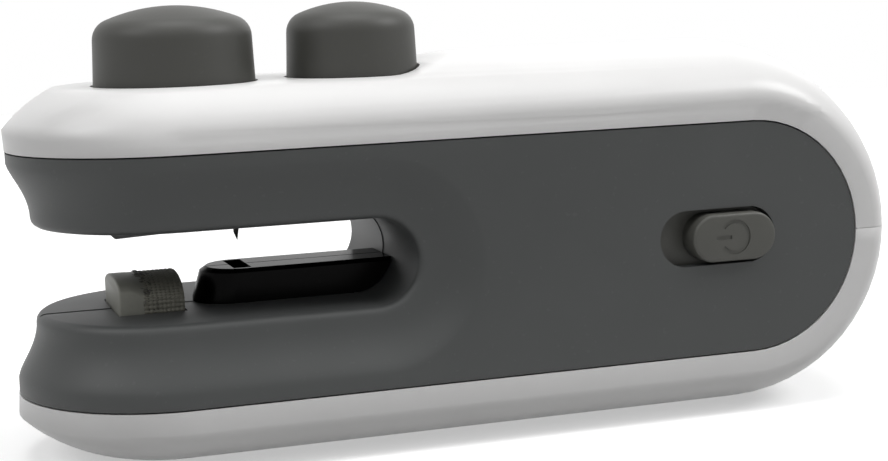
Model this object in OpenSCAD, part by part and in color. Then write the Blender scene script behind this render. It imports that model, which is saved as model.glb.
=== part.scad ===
// Handheld bag sealer with a heated jaw, a thumb cutter and a sliding power switch.
// Origin: middle of the bounding box in plan, on the rest face. Nose towards -X, power knob on the -Y side.
// All sizes are millimetres.

/* [Body] */
// Overall length, nose to rear crown
body_len = 113.2; // [100:0.2:130]
// Width at the belt line
body_w = 36.6; // [34:0.2:42]
// Height between the upper and the lower belt line
belt_h = 34.6; // [33:0.2:38]
// Height between the two seams of the side panel
seam_h = 29.6; // [28:0.2:31]
// How far the top cover arches above the belt line
crown_top = 7.1; // [6:0.1:8]
// How far the bottom cover arches below the belt line
crown_bot = 6; // [5:0.1:8]
// How far the rear end arches past the belt line
crown_rear = 5.6; // [4:0.1:8]
// Width of the flat strip that the sealer rests on
rest_w = 13; // [8:0.5:18]
// Wall of the grey half shells
shell_wall = 1.8; // [1.4:0.1:2.2]
// Wall of the white covers
cover_wall = 2; // [1.6:0.1:2.4]
// How far the side panels lie inside the cover rims
panel_inset = 0.1; // [0.05:0.05:0.5]
// Shadow gap between a panel edge and a cover rim
seam_gap = 0.2; // [0.1:0.05:0.4]
// How straight the top cover falls away at the nose, less is straighter
nose_bend_top = 1.1; // [1:0.1:2]
// How straight the bottom cover falls away at the nose
nose_bend_bot = 1.1; // [1:0.1:2]

/* [Throat] */
// Height of the throat between the two jaws
throat_gap = 10.6; // [10:0.1:12]
// Depth of the throat from the nose
throat_depth = 46.7; // [43:0.1:48]
// How far the throat lies above the middle of the body
throat_lift = 0.2; // [0:0.1:0.6]
// How far the jaw sides draw in towards the throat
ogee_depth = 2.5; // [1.5:0.1:3]
// Height over which they draw in
ogee_reach = 7.8; // [6:0.1:8.4]
// Radius of the jaw lips
lip_r = 1.1; // [0.4:0.1:1.4]

/* [Deck and buttons] */
// How far the button deck lies below the top of the crown
deck_drop = 2.4; // [1.8:0.1:3]
// Thickness of the deck
deck_wall = 1.8; // [1.4:0.1:2]
// Where the ramp behind the deck starts, from the nose
ramp_start = 46.3; // [46:0.1:50]
// Length of the ramp
ramp_len = 12.5; // [8:0.5:16]
// Diameter of the seal button at the deck
seal_btn_d = 19.7; // [18:0.1:20.4]
// Height of the seal button above the deck
seal_btn_h = 9.4; // [8:0.1:11]
// Seal button centre from the nose
seal_btn_x = 21; // [20.2:0.1:21.6]
// Diameter of the cutter button at the deck
cut_btn_d = 16.5; // [15:0.1:17.5]
// Height of the cutter button above the deck
cut_btn_h = 9.1; // [8:0.1:11]
// Distance between the two buttons
button_pitch = 22.5; // [22:0.1:23.5]
// Radius of the button shoulders
shoulder_r = 2.6; // [1.8:0.1:3]
// Wall of the button caps
cap_wall = 1.6; // [1.2:0.1:1.8]
// Gap round a button in the deck
button_gap = 0.3; // [0.2:0.05:0.4]

/* [Sealing unit] */
// Length of the heater block
heater_len = 7.7; // [7:0.1:8.6]
// How far the press foot starts before the heater block
foot_lead = 1.3; // [0:0.1:1.6]
// Width of the press foot and of the heater block
foot_w = 12.2; // [11:0.1:13]
// Middle of the heater from the nose
heater_x = 15.9; // [15.6:0.1:16.2]
// Height of the heater block above the lower jaw
heater_h = 4.1; // [3.6:0.1:4.4]
// How far the press foot hangs below the upper jaw
foot_drop = 1.4; // [1.2:0.1:1.8]
// Travel of the seal button
seal_travel = 4.8; // [4:0.1:4.9]
// Width of the heating ribbon
ribbon_w = 3; // [2:0.1:3.4]
// Width of the woven release tape
tape_w = 4.8; // [4.4:0.1:5.6]

/* [Cutter] */
// Middle of the blade from the nose
blade_x = 27.6; // [27.2:0.1:28]
// Thickness of the blade
blade_t = 0.45; // [0.3:0.05:0.6]
// Width of the blade
blade_w = 5.6; // [4.5:0.1:6]
// How far the blade point hangs below the upper jaw
blade_drop = 3.5; // [3:0.1:4]
// Travel of the cutter button
cut_travel = 4.8; // [4.2:0.1:4.9]
// Width of the cutting block
block_w = 9; // [8.4:0.1:10]
// Height of the cutting block above the lower jaw
block_h = 4.2; // [3.8:0.1:4.6]
// Front end of the cutting block from the nose
block_x = 21.9; // [21.8:0.1:22.6]

/* [Power switch] */
// Rear end of the knob slot from the rear of the body
slot_back = 19.5; // [18:0.5:24]
// Length of the knob slot
slot_len = 16.4; // [16:0.2:18]
// Height of the knob slot
slot_h = 7.1; // [6.6:0.1:7.6]
// How far the slot lies above the middle of the body
slot_lift = 0.4; // [0:0.1:0.8]
// Travel of the power knob
knob_travel = 4; // [3:0.1:4.4]
// How far the knob stands out of the panel
knob_out = 1.2; // [0.8:0.1:1.6]

/* [Battery and board] */
// Diameter of the battery cell
cell_d = 14; // [12:0.1:14.2]
// Front end of the battery cell behind the throat
cell_gap = 4.5; // [3.5:0.5:6]
// Rear end of the battery cell from the rear of the body
cell_back = 19; // [18:0.5:24]
// How far the circuit board starts before the knob slot
board_lead = 4; // [3:0.5:6]
// How far the circuit board runs on behind the knob slot
board_tail = 10.6; // [10:0.2:11.4]
// Thickness of the circuit board
board_t = 1.6; // [1:0.1:1.8]
// Outer diameter of a lead
lead_d = 1.4; // [1:0.1:1.8]

/* [Hidden] */

// Overrun of every cut
over = 2;
// Clearance between pieces that slide past each other
slide_gap = 0.3;
// Clearance between pieces that are fixed together
seat_gap = 0.1;

// Body levels and centres
half_w = body_w/2;
belt_r = belt_h/2;
seam_r = seam_h/2;
rest_drop = crown_bot*(1 - sqrt(1 - pow(rest_w/body_w, 2)));
mid_z = belt_r + crown_bot - rest_drop;
nose_x = -body_len/2;
nose_cx = nose_x + half_w;
rear_cx = -nose_x - belt_r - crown_rear;
rim_draft = 0.15;
rim_y = half_w - rim_draft;
panel_y = rim_y - panel_inset;
inner_y = panel_y - shell_wall;
crown_steps = 12;
core_steps = 2;
core_lap = 0.5;
core_r = half_w*cos(90*(crown_steps - core_steps)/crown_steps) + core_lap;
nose_rings = 24;
nose_power = 0.4;
arc_steps = 14;

// Throat levels
throat_z = mid_z + throat_lift;
throat_r = throat_gap/2;
throat_cx = nose_x + throat_depth - throat_r;
jaw_low = throat_z - throat_r;
jaw_up = throat_z + throat_r;
floor_low = jaw_low - shell_wall;
floor_up = jaw_up + shell_wall;
ogee_steps = 10;
lip_steps = 4;
ogee_power = 1.47;

// Deck levels
top_z = mid_z + belt_r + crown_top;
deck_h = top_z - deck_drop;
deck_under = deck_h - deck_wall;
ramp_steps = 10;
seal_cx = nose_x + seal_btn_x;
cut_cx = seal_cx + button_pitch;
cap_draft = 0.03;
shoulder_deg = 68;

// Press group
flange_h = 1.5;
flange_out = 1.1;
shoulder_steps = 6;
dome_steps = 8;
flange_top = deck_under - slide_gap;
flange_z = flange_top - flange_h;
spigot_r = 2;
spigot_h = 2.4;
column_back = 3.5;
column_len = 5.8;
column_cx = seal_cx - column_back - column_len/2;
column_w = 10;
foot_len = heater_len + foot_lead;
foot_top = jaw_up - 2*seat_gap;
foot_z = jaw_up - foot_drop;
foot_slant = 1.1;
plug_len = 3;
plug_w = 6;
plug_h = 1.2;

// Cutter group: the arm runs under the pressed seal button and clears the floor when it is pressed itself
arm_w = 6;
arm_top = flange_top - seal_travel - slide_gap;
arm_z = floor_up + cut_travel + slide_gap;
arm_h = arm_top - arm_z;
drop_len = 3.5;
pad_h = 3.7;
pad_len = 2.7;
blade_px = nose_x + blade_x;
blade_tip_z = jaw_up - blade_drop;
blade_top_z = arm_top - slide_gap;
blade_tip_len = 4.2;
head_r = 1.5;
head_h = 1.3;
screw_r = 0.9;
screw_len = 3;
screw_z = arm_top - head_r - slide_gap;

// Springs and their seats
seat_r = 4;
cap_seat = 0.6;
level_gap = 0.45;
seal_wire = 0.7;
seal_coil_r = 2.85;
seal_curls = 9;
cut_wire = 0.6;
cut_coil_r = 2.75;
cut_curls = 9;
spring_sides = 6;
curl_rings = 8;

// Windows in the floor of the upper jaw
foot_win_len = column_len + 2*slide_gap;
foot_win_w = column_w + 2*slide_gap;
blade_win_len = 2*pad_len;
blade_win_w = 8;
blade_win_x = blade_px - head_h - 2*slide_gap;

// Cutting block
block_draft = 0.8;
block_edge = 0.5;
tenon_w = 5;
tenon_end = 2.4;
tenon_h = shell_wall;
cut_slot_len = 2.2;
cut_slot_w = 6.9;
groove_w = 0.3;
groove_h = 0.15;

// Heater
heater_cx = nose_x + heater_x;
heater_top = jaw_low + heater_h;
heater_arch = 2.6;
heater_foot_h = 3.4;
heater_foot_out = 1.2;
heater_foot_z = floor_low - heater_foot_h - seat_gap;
arch_steps = 12;
ribbon_t = 0.2;
tape_t = 0.25;
ribbon_cx = heater_cx + (heater_len - tape_w)/2;
layer_y = foot_w/2 - tape_t;
terminal_len = 5;
terminal_h = 3.4;
terminal_t = 1;
stand_share = 0.34;

// Power switch
slot_cx = -nose_x - slot_back - slot_len/2;
slot_z = mid_z + slot_lift;
knob_gap = 0.2;
knob_len = slot_len - knob_travel - 2*knob_gap;
knob_h = slot_h - 2*knob_gap;
knob_cx = slot_cx + knob_travel/2;
knob_edge = 1;
edge_steps = 5;
guard_t = 1;
guard_over = 0.6;
guard_y = inner_y - slide_gap;
knob_face_y = panel_y + knob_out;
pocket_w = 2;
lever_len = 1.8;
lever_h = 2.2;
lug_t = 1.2;
switch_len = 9;
switch_deep = 4;
switch_h = 5.6;
ring_r = 1.9;
ring_w = 0.45;
mark_h = 0.2;
mark_open_deg = 38;
bar_len = 2;
bar_out = 0.5;

// Board, socket and cell
board_len = slot_len + board_lead + board_tail;
board_cx = slot_cx + (board_tail - board_lead)/2;
board_z = slot_z - switch_h/2 - board_t;
board_top = board_z + board_t;
board_near_gap = 1.8;
board_far_gap = 2.1;
board_low_y = guard_t - guard_y + board_near_gap;
board_high_y = inner_y - board_far_gap;
socket_w = 8.9;
socket_deep = 7.3;
socket_h = 3.2;
socket_t = 0.4;
socket_inset = 0.9;
socket_cx = board_cx + board_len/2 - socket_w/2 - socket_inset;
socket_back = 0.5;
socket_y = panel_y - socket_back;
port_gap = 0.3;
pin_row_t = 0.7;
pin_row_share = 0.66;
cell_front = nose_x + throat_depth + cell_gap;
cell_len = -nose_x - cell_back - cell_front;
cell_z = cover_wall + cell_d/2 + slide_gap;
cell_cap_r = 2.7;
cell_cap_h = 0.9;
tab_w = 5;
tab_t = 0.2;
cradle_t = 1.6;
cradle_h = 4;
cradle_share = 0.2;

// Tongue behind the cover rims
tongue_y = inner_y - seat_gap;
tongue_in = 1.4;
tongue_root = 3;
tongue_out = 1.6;

// Screws that join the half shells
case_head_r = 2.4;
case_head_h = 1.6;
case_head_y = 11;
case_shank_r = 1.1;
case_len = 20;
boss_r = 3.6;
boss_in = seam_r - seam_gap - boss_r - seat_gap;
boss_deg = 62;
case_screw_places = [
    [(heater_cx + cell_front)/2, mid_z - boss_in],
    [cut_cx + cut_btn_d/2 + flange_out + boss_r + slide_gap, mid_z + boss_in],
    [rear_cx + boss_in*cos(boss_deg), mid_z + boss_in*sin(boss_deg)]];

// Posts under the board and the screws that hold it, as places in X
post_len = 5.2;
post_reach = 8;
post_h = 4.4;
post_inset = 5;
post_front = board_cx - board_len/2 + post_inset;
post_rear = board_cx + board_len/2 - post_inset;
board_screw_in = 5.5;
board_screw_y = inner_y - board_screw_in;
board_screw_len = 4.6;
board_head_r = 1.9;
board_screw_places = [[post_front, -board_screw_y], [post_rear, -board_screw_y], [post_front, board_screw_y]];

// Routes of the leads, chosen by hand
lead_sides = 8;
lead_cuts = 3;
heater_route = [
    [-39.3, 6.95, 14], [-39.3, 7.8, 14], [-38.6, 9.2, 13.4], [-36.6, 10, 11.4], [-33.4, 10.2, 8.6],
    [-29.4, 10.2, 7], [-23.4, 10.2, 6.7], [-11.4, 10.2, 6.7], [0.6, 10.2, 6.9], [6.6, 10, 8.6],
    [10.6, 9.2, 12], [14, 7.8, 15.4], [17.2, 6.4, 17.4], [20, 5.4, 18.1]];
front_route = [
    [-5.7, -1, 13], [-6.5, -1, 13.1], [-7.4, -1.1, 14], [-7.6, -1.3, 15.6], [-6.8, -1.6, 17],
    [-5, -2, 17.6], [0.6, -2.6, 17.7], [10.6, -3, 17.7], [16.6, -3.2, 17.9], [20, -3.4, 18.1]];
rear_route = [
    [37.9, 1, 12], [38.7, 1, 12.1], [39.6, 1.1, 13], [39.8, 1.3, 14.6], [39.4, 1.6, 16.4],
    [38.4, 2, 17.6], [36.6, 2.4, 18.1], [35.2, 2.6, 18.1]];

// Points of an ellipse quarter from the belt to the crown, held below a level
function crown_pts(hw, h, cap) =
    [for (i = [0:crown_steps]) let(a = 90*i/crown_steps)
        [i == crown_steps ? 0 : hw*cos(a), min(belt_r + h*sin(a), cap)]];
function flip(list) = [for (i = [len(list) - 1:-1:0]) list[i]];
function mirror_y(list) = [for (p = list) [-p[0], p[1]]];

// Outside and inside of a cover section, as distance from the middle plane and from the mid height
function cover_out(h, cap) = concat([[rim_y, seam_r]], crown_pts(half_w, h, cap));
function cover_in(h, cap) =
    concat([[rim_y - cover_wall, seam_r]], crown_pts(half_w - cover_wall, h - cover_wall, cap));
function across(list) = concat(list, [for (i = [len(list) - 2:-1:0]) [-list[i][0], list[i][1]]]);

// A ring of the rear end at angle t, outside then inside
function rear_side(t, hw, h, shrink, cap) =
    [for (i = [0:crown_steps])
        let(a = 90*i/crown_steps, c = sin(a),
            x = t == 90 ? 0 : (belt_r + c*(crown_rear - shrink))*cos(t),
            z = (belt_r + c*(h - shrink))*sin(t))
        [x, i == crown_steps ? 0 : (hw - shrink)*cos(a), min(z, cap)]];
function rim_pt(t, y) = [t == 90 ? 0 : seam_r*cos(t), y, seam_r*sin(t)];
function both_y(list) =
    concat(list, [for (i = [len(list) - 2:-1:0]) [list[i][0], -list[i][1], list[i][2]]]);
function rear_loop(t, h, cap_out, cap_in) =
    concat([rim_pt(t, rim_y)], both_y(rear_side(t, half_w, h, 0, cap_out)), [rim_pt(t, -rim_y)],
           [rim_pt(t, -rim_y + cover_wall)],
           flip(both_y(rear_side(t, half_w, h, cover_wall, cap_in))),
           [rim_pt(t, rim_y - cover_wall)]);

// Skin over a row of closed loops, each a strip that runs out and back, with flat ends
module loft(loops) {
    n = len(loops[0]);
    rows = len(loops);
    sides = [for (i = [0:rows - 2], j = [0:n - 1], k = [0:1])
        let(a = i*n + j, b = i*n + (j + 1)%n)
        k == 0 ? [a, b, b + n] : [a, b + n, a + n]];
    last = (rows - 1)*n;
    ends = [for (i = [0:n/2 - 2], k = [0:1], e = [0, 1])
        let(f = k == 0 ? [i, i + 1, n - 2 - i] : [i, n - 2 - i, n - 1 - i])
        e == 1 ? [for (v = f) v + last] : [f[2], f[1], f[0]]];
    polyhedron([for (l = loops, p = l) p], concat(sides, ends), convexity = 6);
}

// Rear quarter of a cover, from the parting line up to the straight part
module cover_rear(h, cap_out, cap_in) {
    loft([for (i = [0:arc_steps]) rear_loop(90*i/arc_steps, h, cap_out, cap_in)]);
}

// A ring of the nose at angle t from the tip: the crown falls away straighter there than at the sides
function nose_side(t, hw, h, cap, bend) =
    [for (i = [0:crown_steps - core_steps])
        let(a = 90*i/crown_steps, side_r = hw*cos(a),
            tip_r = hw*pow(1 - pow(sin(a), bend), nose_power),
            r = side_r + (tip_r - side_r)*pow(cos(t), 2))
        [-r*cos(t), r*sin(t), min(belt_r + h*sin(a), cap)]];
function nose_rim(t, r) = [-r*cos(t), r*sin(t), seam_r];
function nose_loop(t, h, cap_out, cap_in, bend) =
    concat([nose_rim(t, rim_y)], nose_side(t, half_w, h, cap_out, bend),
           flip(nose_side(t, half_w - cover_wall, h - cover_wall, cap_in, bend)),
           [nose_rim(t, rim_y - cover_wall)]);

// Nose of a cover: its rings, and the round plate that they end in
module cover_nose(h, cap_out, cap_in, bend) {
    loft([for (i = [0:nose_rings]) nose_loop(90 - 180*i/nose_rings, h, cap_out, cap_in, bend)]);
    plate_z = min(belt_r + h*sin(90*(crown_steps - core_steps)/crown_steps), cap_out);
    translate([0, 0, cap_in]) cylinder(h = plate_z - cap_in, r = core_r, $fn = 96);
}

// Cover: nose, straight part and rear quarter, above the mid height
module cover_form(h, cap_out, cap_in, bend) {
    outside = cover_out(h, cap_out);
    inside = cover_in(h, cap_in);
    translate([nose_cx, 0, 0]) {
        cover_nose(h, cap_out, cap_in, bend);
        rotate([90, 0, 90]) linear_extrude(rear_cx - nose_cx)
            polygon(concat(across(outside), flip(across(inside))));
    }
    translate([rear_cx, 0, 0]) cover_rear(h, cap_out, cap_in);
}

// Mouth of the throat as distance from the middle plane and from the jaw face
function ogee_in(d) =
    ogee_depth*pow(max(1 - pow((d - lip_r)/(ogee_reach - lip_r), 2), 0), ogee_power);
function mouth(grow) =
    let(y = panel_y - grow, lip_y = y - ogee_depth - lip_r, g = throat_r + grow)
    concat([for (i = [0:lip_steps]) let(a = 90*i/lip_steps)
                [lip_y + lip_r*sin(a), g + lip_r*(1 - cos(a))]],
           [for (i = [1:ogee_steps]) let(d = lip_r + (ogee_reach - lip_r)*i/ogee_steps)
                [y - ogee_in(d), g + d]],
           [[panel_y + over, g + ogee_reach]]);
function down(list) = [for (p = list) [p[0], -p[1]]];

// Everything the throat takes out of the body, grown by a wall when wanted
module throat_void(grow) {
    m = mouth(grow);
    half = concat([[0, m[0][1]]], m, flip(down(m)), [[0, -m[0][1]]]);
    translate([0, 0, throat_z]) {
        translate([nose_cx, 0, 0]) {
            rotate([0, 0, 90]) rotate_extrude(angle = 180, $fn = 96) polygon(half);
            rotate([90, 0, 90]) linear_extrude(throat_cx - nose_cx)
                polygon(concat(m, flip(down(m)), mirror_y(down(m)), flip(mirror_y(m))));
        }
        turned = [for (p = m) [p[1], p[0]]];
        translate([throat_cx, 0, 0]) rotate([90, 0, 0]) rotate([0, 0, -90])
            rotate_extrude(angle = 180, $fn = 96)
                polygon(concat([[0, -panel_y - over]],
                               [for (p = flip(turned)) [p[0], -p[1]]], turned,
                               [[0, panel_y + over]]));
    }
}

// Outline of the side panel, seen from the side
module panel_outline(r) {
    translate([nose_cx, -r]) square([rear_cx - nose_cx, 2*r]);
    translate([rear_cx, 0]) circle(r, $fn = 128);
}

// Solid between the two panels, with its round nose
module panel_form(r, hw) {
    translate([0, hw, mid_z]) rotate([90, 0, 0]) linear_extrude(2*hw) panel_outline(r);
    translate([nose_cx, 0, mid_z - r]) cylinder(h = 2*r, r = hw, $fn = 96);
}

// Tongue that stands behind a cover rim, on the +Y side
module tongue() {
    low = seam_r - tongue_root;
    high = seam_r + tongue_out;
    lap = seam_r - 2*seam_gap;
    pts = [[tongue_y - tongue_in, low], [inner_y + seat_gap, low], [inner_y + seat_gap, lap],
           [tongue_y, lap], [tongue_y, high], [tongue_y - tongue_in, high]];
    translate([0, 0, mid_z]) {
        for (s = [0, 1]) mirror([0, 0, s]) translate([nose_cx, 0, 0]) {
            rotate([0, 0, 90]) rotate_extrude(angle = 90, $fn = 96) polygon(pts);
            rotate([90, 0, 90]) linear_extrude(rear_cx - nose_cx) polygon(pts);
        }
        translate([rear_cx, 0, 0]) mirror([0, 1, 0]) rotate([90, 0, 0]) rotate([0, 0, -90])
            rotate_extrude(angle = 180, $fn = 96) polygon([for (p = pts) [p[1], p[0]]]);
    }
}

// Grey half shell on the +Y side, without the openings of one hand
module half_shell() {
    difference() {
        union() {
            difference() {
                panel_form(seam_r - seam_gap, panel_y);
                throat_void(0);
                difference() {
                    panel_form(seam_r + over, inner_y);
                    throat_void(shell_wall);
                }
            }
            difference() {
                tongue();
                throat_void(0);
            }
            difference() {
                union() {
                    spring_seats();
                    case_bosses();
                }
                throat_void(shell_wall/2);
            }
            board_posts();
        }
        translate([nose_x - over, -body_w, -over]) cube([body_len + 2*over, body_w, top_z + 2*over]);
        floor_windows();
        jaw_cuts();
        post_holes();
    }
}

// Seats for the two button springs, with the spigot that centres each spring
module spring_seats() {
    for (x = [seal_cx, cut_cx]) translate([x, 0, throat_z]) {
        cylinder(h = floor_up - throat_z, r = seat_r, $fn = 48);
        cylinder(h = floor_up - throat_z + spigot_h, r = spigot_r, $fn = 48);
    }
}

// Posts that carry the board
module board_posts() {
    for (x = [post_front, post_rear])
        translate([x - post_len/2, inner_y - post_reach, board_z - seat_gap - post_h])
            cube([post_len, post_reach + seat_gap, post_h]);
}
module post_holes() {
    for (x = [post_front, post_rear]) translate([x, board_screw_y, board_z - post_h - over])
        cylinder(h = post_h + 2*over, r = screw_r + seat_gap/2, $fn = 32);
}

// Bosses for the case screws
module case_bosses() {
    for (p = case_screw_places) translate([p[0], 0, p[1]]) rotate([-90, 0, 0])
        cylinder(h = inner_y + seat_gap, r = boss_r, $fn = 48);
}

// Windows for the press column and the blade
module floor_windows() {
    translate([column_cx - foot_win_len/2, -foot_win_w/2, jaw_up - over])
        cube([foot_win_len, foot_win_w, shell_wall + 2*over]);
    translate([blade_win_x, -blade_win_w/2, jaw_up - over])
        cube([blade_win_len, blade_win_w, shell_wall + 2*over]);
}

// Openings in the face of the lower jaw for the heater and the tenon of the cutting block
module jaw_cuts() {
    len_h = heater_len + 2*slide_gap;
    wid_h = foot_w + 2*slide_gap;
    translate([heater_cx - len_h/2, -wid_h/2, floor_low - over])
        cube([len_h, wid_h, shell_wall + 2*over]);
    tenon_x = nose_x + block_x + tenon_end;
    translate([tenon_x - seat_gap, -tenon_w/2 - seat_gap, floor_low - over])
        cube([throat_cx - tenon_x + 2*seat_gap, tenon_w + 2*seat_gap, shell_wall + 2*over]);
}

// Stadium of a given size, lying in the XZ plane and cut along Y
module stadium(l, h, deep) {
    rotate([90, 0, 0]) translate([0, 0, -deep/2]) linear_extrude(deep) {
        square([l - h, h], center = true);
        for (s = [-1, 1]) translate([s*(l - h)/2, 0]) circle(h/2, $fn = 64);
    }
}

// Near half shell, with the slot of the power knob
module left_shell() {
    color([0.30, 0.31, 0.31]) mirror([0, 1, 0]) difference() {
        half_shell();
        translate([slot_cx, panel_y, slot_z]) stadium(slot_len, slot_h, 4*shell_wall);
        for (p = case_screw_places) translate([p[0], -over, p[1]]) rotate([-90, 0, 0])
            cylinder(h = case_len - case_head_y + 2*over, r = case_shank_r + seat_gap/2, $fn = 32);
    }
}

// Far half shell, with the charging port and the recesses of the case screws
module right_shell() {
    color([0.30, 0.31, 0.31]) difference() {
        half_shell();
        translate([socket_cx, panel_y, board_top + socket_h/2])
            stadium(socket_w + 2*port_gap, socket_h + 2*port_gap, 4*shell_wall);
        for (p = case_screw_places) translate([p[0], 0, p[1]]) rotate([-90, 0, 0]) {
            translate([0, 0, -over]) cylinder(h = body_w, r = case_shank_r + seat_gap, $fn = 32);
            translate([0, 0, case_head_y])
                cylinder(h = body_w, r = case_head_r + slide_gap, $fn = 48);
        }
    }
}

// Cover over the top, with the deck, the ramp behind it and the two button holes
module top_cover() {
    cap_in = deck_under - mid_z;
    color([0.93, 0.93, 0.92]) difference() {
        translate([0, 0, mid_z]) cover_form(crown_top, top_z, cap_in, nose_bend_top);
        deck_cut();
        for (b = [[seal_cx, seal_btn_d], [cut_cx, cut_btn_d]]) translate([b[0], 0, deck_under - over])
            cylinder(h = deck_wall + 2*over, r = b[1]/2 + button_gap, $fn = 96);
    }
}

// What the deck and its ramp take off the crown
module deck_cut() {
    rise = top_z - deck_h;
    x0 = nose_x + ramp_start;
    ramp = [for (i = [0:ramp_steps]) let(s = i/ramp_steps)
        [x0 + ramp_len*s, deck_h + rise*(1 - cos(180*s))/2]];
    translate([0, half_w + over, 0]) rotate([90, 0, 0]) linear_extrude(body_w + 2*over)
        polygon(concat([[nose_x - over, deck_h]], ramp,
                       [[x0 + ramp_len, top_z + over], [nose_x - over, top_z + over]]));
}

// Cover under the bottom, with the flat strip it rests on and the cradle of the cell
module bottom_cover() {
    cap_out = belt_r + crown_bot - rest_drop;
    cap_in = cap_out - cover_wall;
    color([0.90, 0.90, 0.89]) {
        translate([0, 0, mid_z]) mirror([0, 0, 1]) cover_form(crown_bot, cap_out, cap_in, nose_bend_bot);
        cell_cradle();
        heater_stand();
    }
}

// Two ribs under the cell
module cell_cradle() {
    for (s = [cradle_share, 1 - cradle_share])
        translate([cell_front + s*cell_len - cradle_t/2, 0, 0]) difference() {
            translate([0, -cell_d/2, cover_wall - seat_gap]) cube([cradle_t, cell_d, cradle_h]);
            translate([-over, 0, cell_z]) rotate([0, 90, 0])
                cylinder(h = cradle_t + 2*over, r = cell_d/2 + seat_gap, $fn = 96);
        }
}

// Two ribs that carry the heater block
module heater_stand() {
    rib_h = heater_foot_z - cover_wall;
    for (s = [-1, 1])
        translate([heater_cx + s*stand_share*heater_len - cradle_t/2, -foot_w/2, cover_wall - seat_gap])
            cube([cradle_t, foot_w, rib_h]);
}

// Half outline of a button cap above the deck, inset by a wall
function cap_pts(d, h, inset) =
    let(r1 = d/2 - cap_draft*(h - shoulder_r) - inset, rs = shoulder_r - inset,
        dome_r = (r1 - rs)/cos(shoulder_deg) + rs, top = h - inset,
        dome_z = top - dome_r, z1 = dome_z + (dome_r - rs)*sin(shoulder_deg))
    concat([for (i = [0:shoulder_steps]) let(a = shoulder_deg*i/shoulder_steps)
                [r1 - rs + rs*cos(a), z1 + rs*sin(a)]],
           [for (i = [1:dome_steps]) let(a = shoulder_deg + (90 - shoulder_deg)*i/dome_steps)
                [i == dome_steps ? 0 : dome_r*cos(a), dome_z + dome_r*sin(a)]]);

// Hollow button cap with a flat seat and a spigot for its spring
module cap(cx, d, h) {
    skirt = deck_h - flange_top;
    translate([cx, 0, deck_h]) {
        rotate_extrude($fn = 96) polygon(concat(
            [[d/2 - cap_wall, -skirt], [d/2, -skirt], [d/2, 0]], cap_pts(d, h, 0),
            flip(cap_pts(d, h, cap_wall))));
        translate([0, 0, h - cap_wall - cap_seat]) cylinder(h = cap_seat + cap_wall/2, r = seat_r, $fn = 48);
        translate([0, 0, h - cap_wall - spigot_h])
            cylinder(h = spigot_h + cap_wall/2, r = spigot_r, $fn = 48);
    }
}
module seal_button() { color([0.36, 0.36, 0.34]) cap(seal_cx, seal_btn_d, seal_btn_h); }
module cutter_button() { color([0.36, 0.36, 0.34]) cap(cut_cx, cut_btn_d, cut_btn_h); }

// Flange under a button, open in the middle for the spring
module flange(d, hole_r) {
    difference() {
        cylinder(h = flange_h, r = d/2 + flange_out, $fn = 96);
        translate([0, 0, -over]) cylinder(h = flange_h + 2*over, r = hole_r, $fn = 64);
    }
}

// Plunger of the seal button: flange, press column and the pocket of the foot
module seal_plunger() {
    color([0.24, 0.25, 0.25]) difference() {
        union() {
            translate([seal_cx, 0, flange_z]) flange(seal_btn_d, seal_coil_r + seal_wire);
            translate([column_cx - column_len/2, -column_w/2, foot_top])
                cube([column_len, column_w, flange_z - foot_top + flange_h/2]);
        }
        translate([blade_win_x - slide_gap, -blade_win_w/2, flange_z - over])
            cube([seal_btn_d, blade_win_w, flange_h + 2*over]);
        translate([column_cx - plug_len/2 - seat_gap, -plug_w/2 - seat_gap, foot_top - over])
            cube([plug_len + 2*seat_gap, plug_w + 2*seat_gap, plug_h + seat_gap + over]);
    }
}

// Press foot with a slanted front and a plug into the plunger
module press_foot() {
    x0 = heater_cx - heater_len/2 - foot_lead;
    color([0.27, 0.28, 0.28]) {
        translate([0, foot_w/2, 0]) rotate([90, 0, 0]) linear_extrude(foot_w)
            polygon([[x0, foot_top], [x0 + foot_slant, foot_z], [x0 + foot_len, foot_z],
                     [x0 + foot_len, foot_top]]);
        translate([column_cx - plug_len/2, -plug_w/2, foot_top - seat_gap])
            cube([plug_len, plug_w, plug_h]);
    }
}

// Round wire wound as a helix with closed, level ends
function coil_z(s, curls, span) =
    let(u = (s - 1)/(curls - 2))
    span*(u < 0 ? 0 : u > 1 ? 1 : u);
function coil_pts(r, wire, curls, span) =
    let(lead = wire + level_gap, free = span - wire - 2*lead)
    [for (i = [0:curls*curl_rings])
        let(s = i/curl_rings, a = 360*s,
            rise = lead*(s < 1 ? s : 1) + coil_z(s, curls, free) + lead*(s > curls - 1 ? s - curls + 1 : 0))
        [r*cos(a), r*sin(a), wire/2 + rise]];
function unit(v) = v/norm(v);
function ring_at(p, along, r, sides, upward) =
    let(side = unit(cross(along, upward)), up = cross(side, along))
    [for (k = [0:sides - 1]) let(a = 360*k/sides) p + r*cos(a)*side + r*sin(a)*up];
module tube(pts, r, sides, upward) {
    n = len(pts);
    loft([for (i = [0:n - 1])
        ring_at(pts[i], unit(pts[min(i + 1, n - 1)] - pts[max(i - 1, 0)]), r, sides, upward)]);
}
module coil(r, wire, curls, span) {
    tube(coil_pts(r, wire, curls, span), wire/2, spring_sides, [0, 0, 1]);
}
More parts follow.
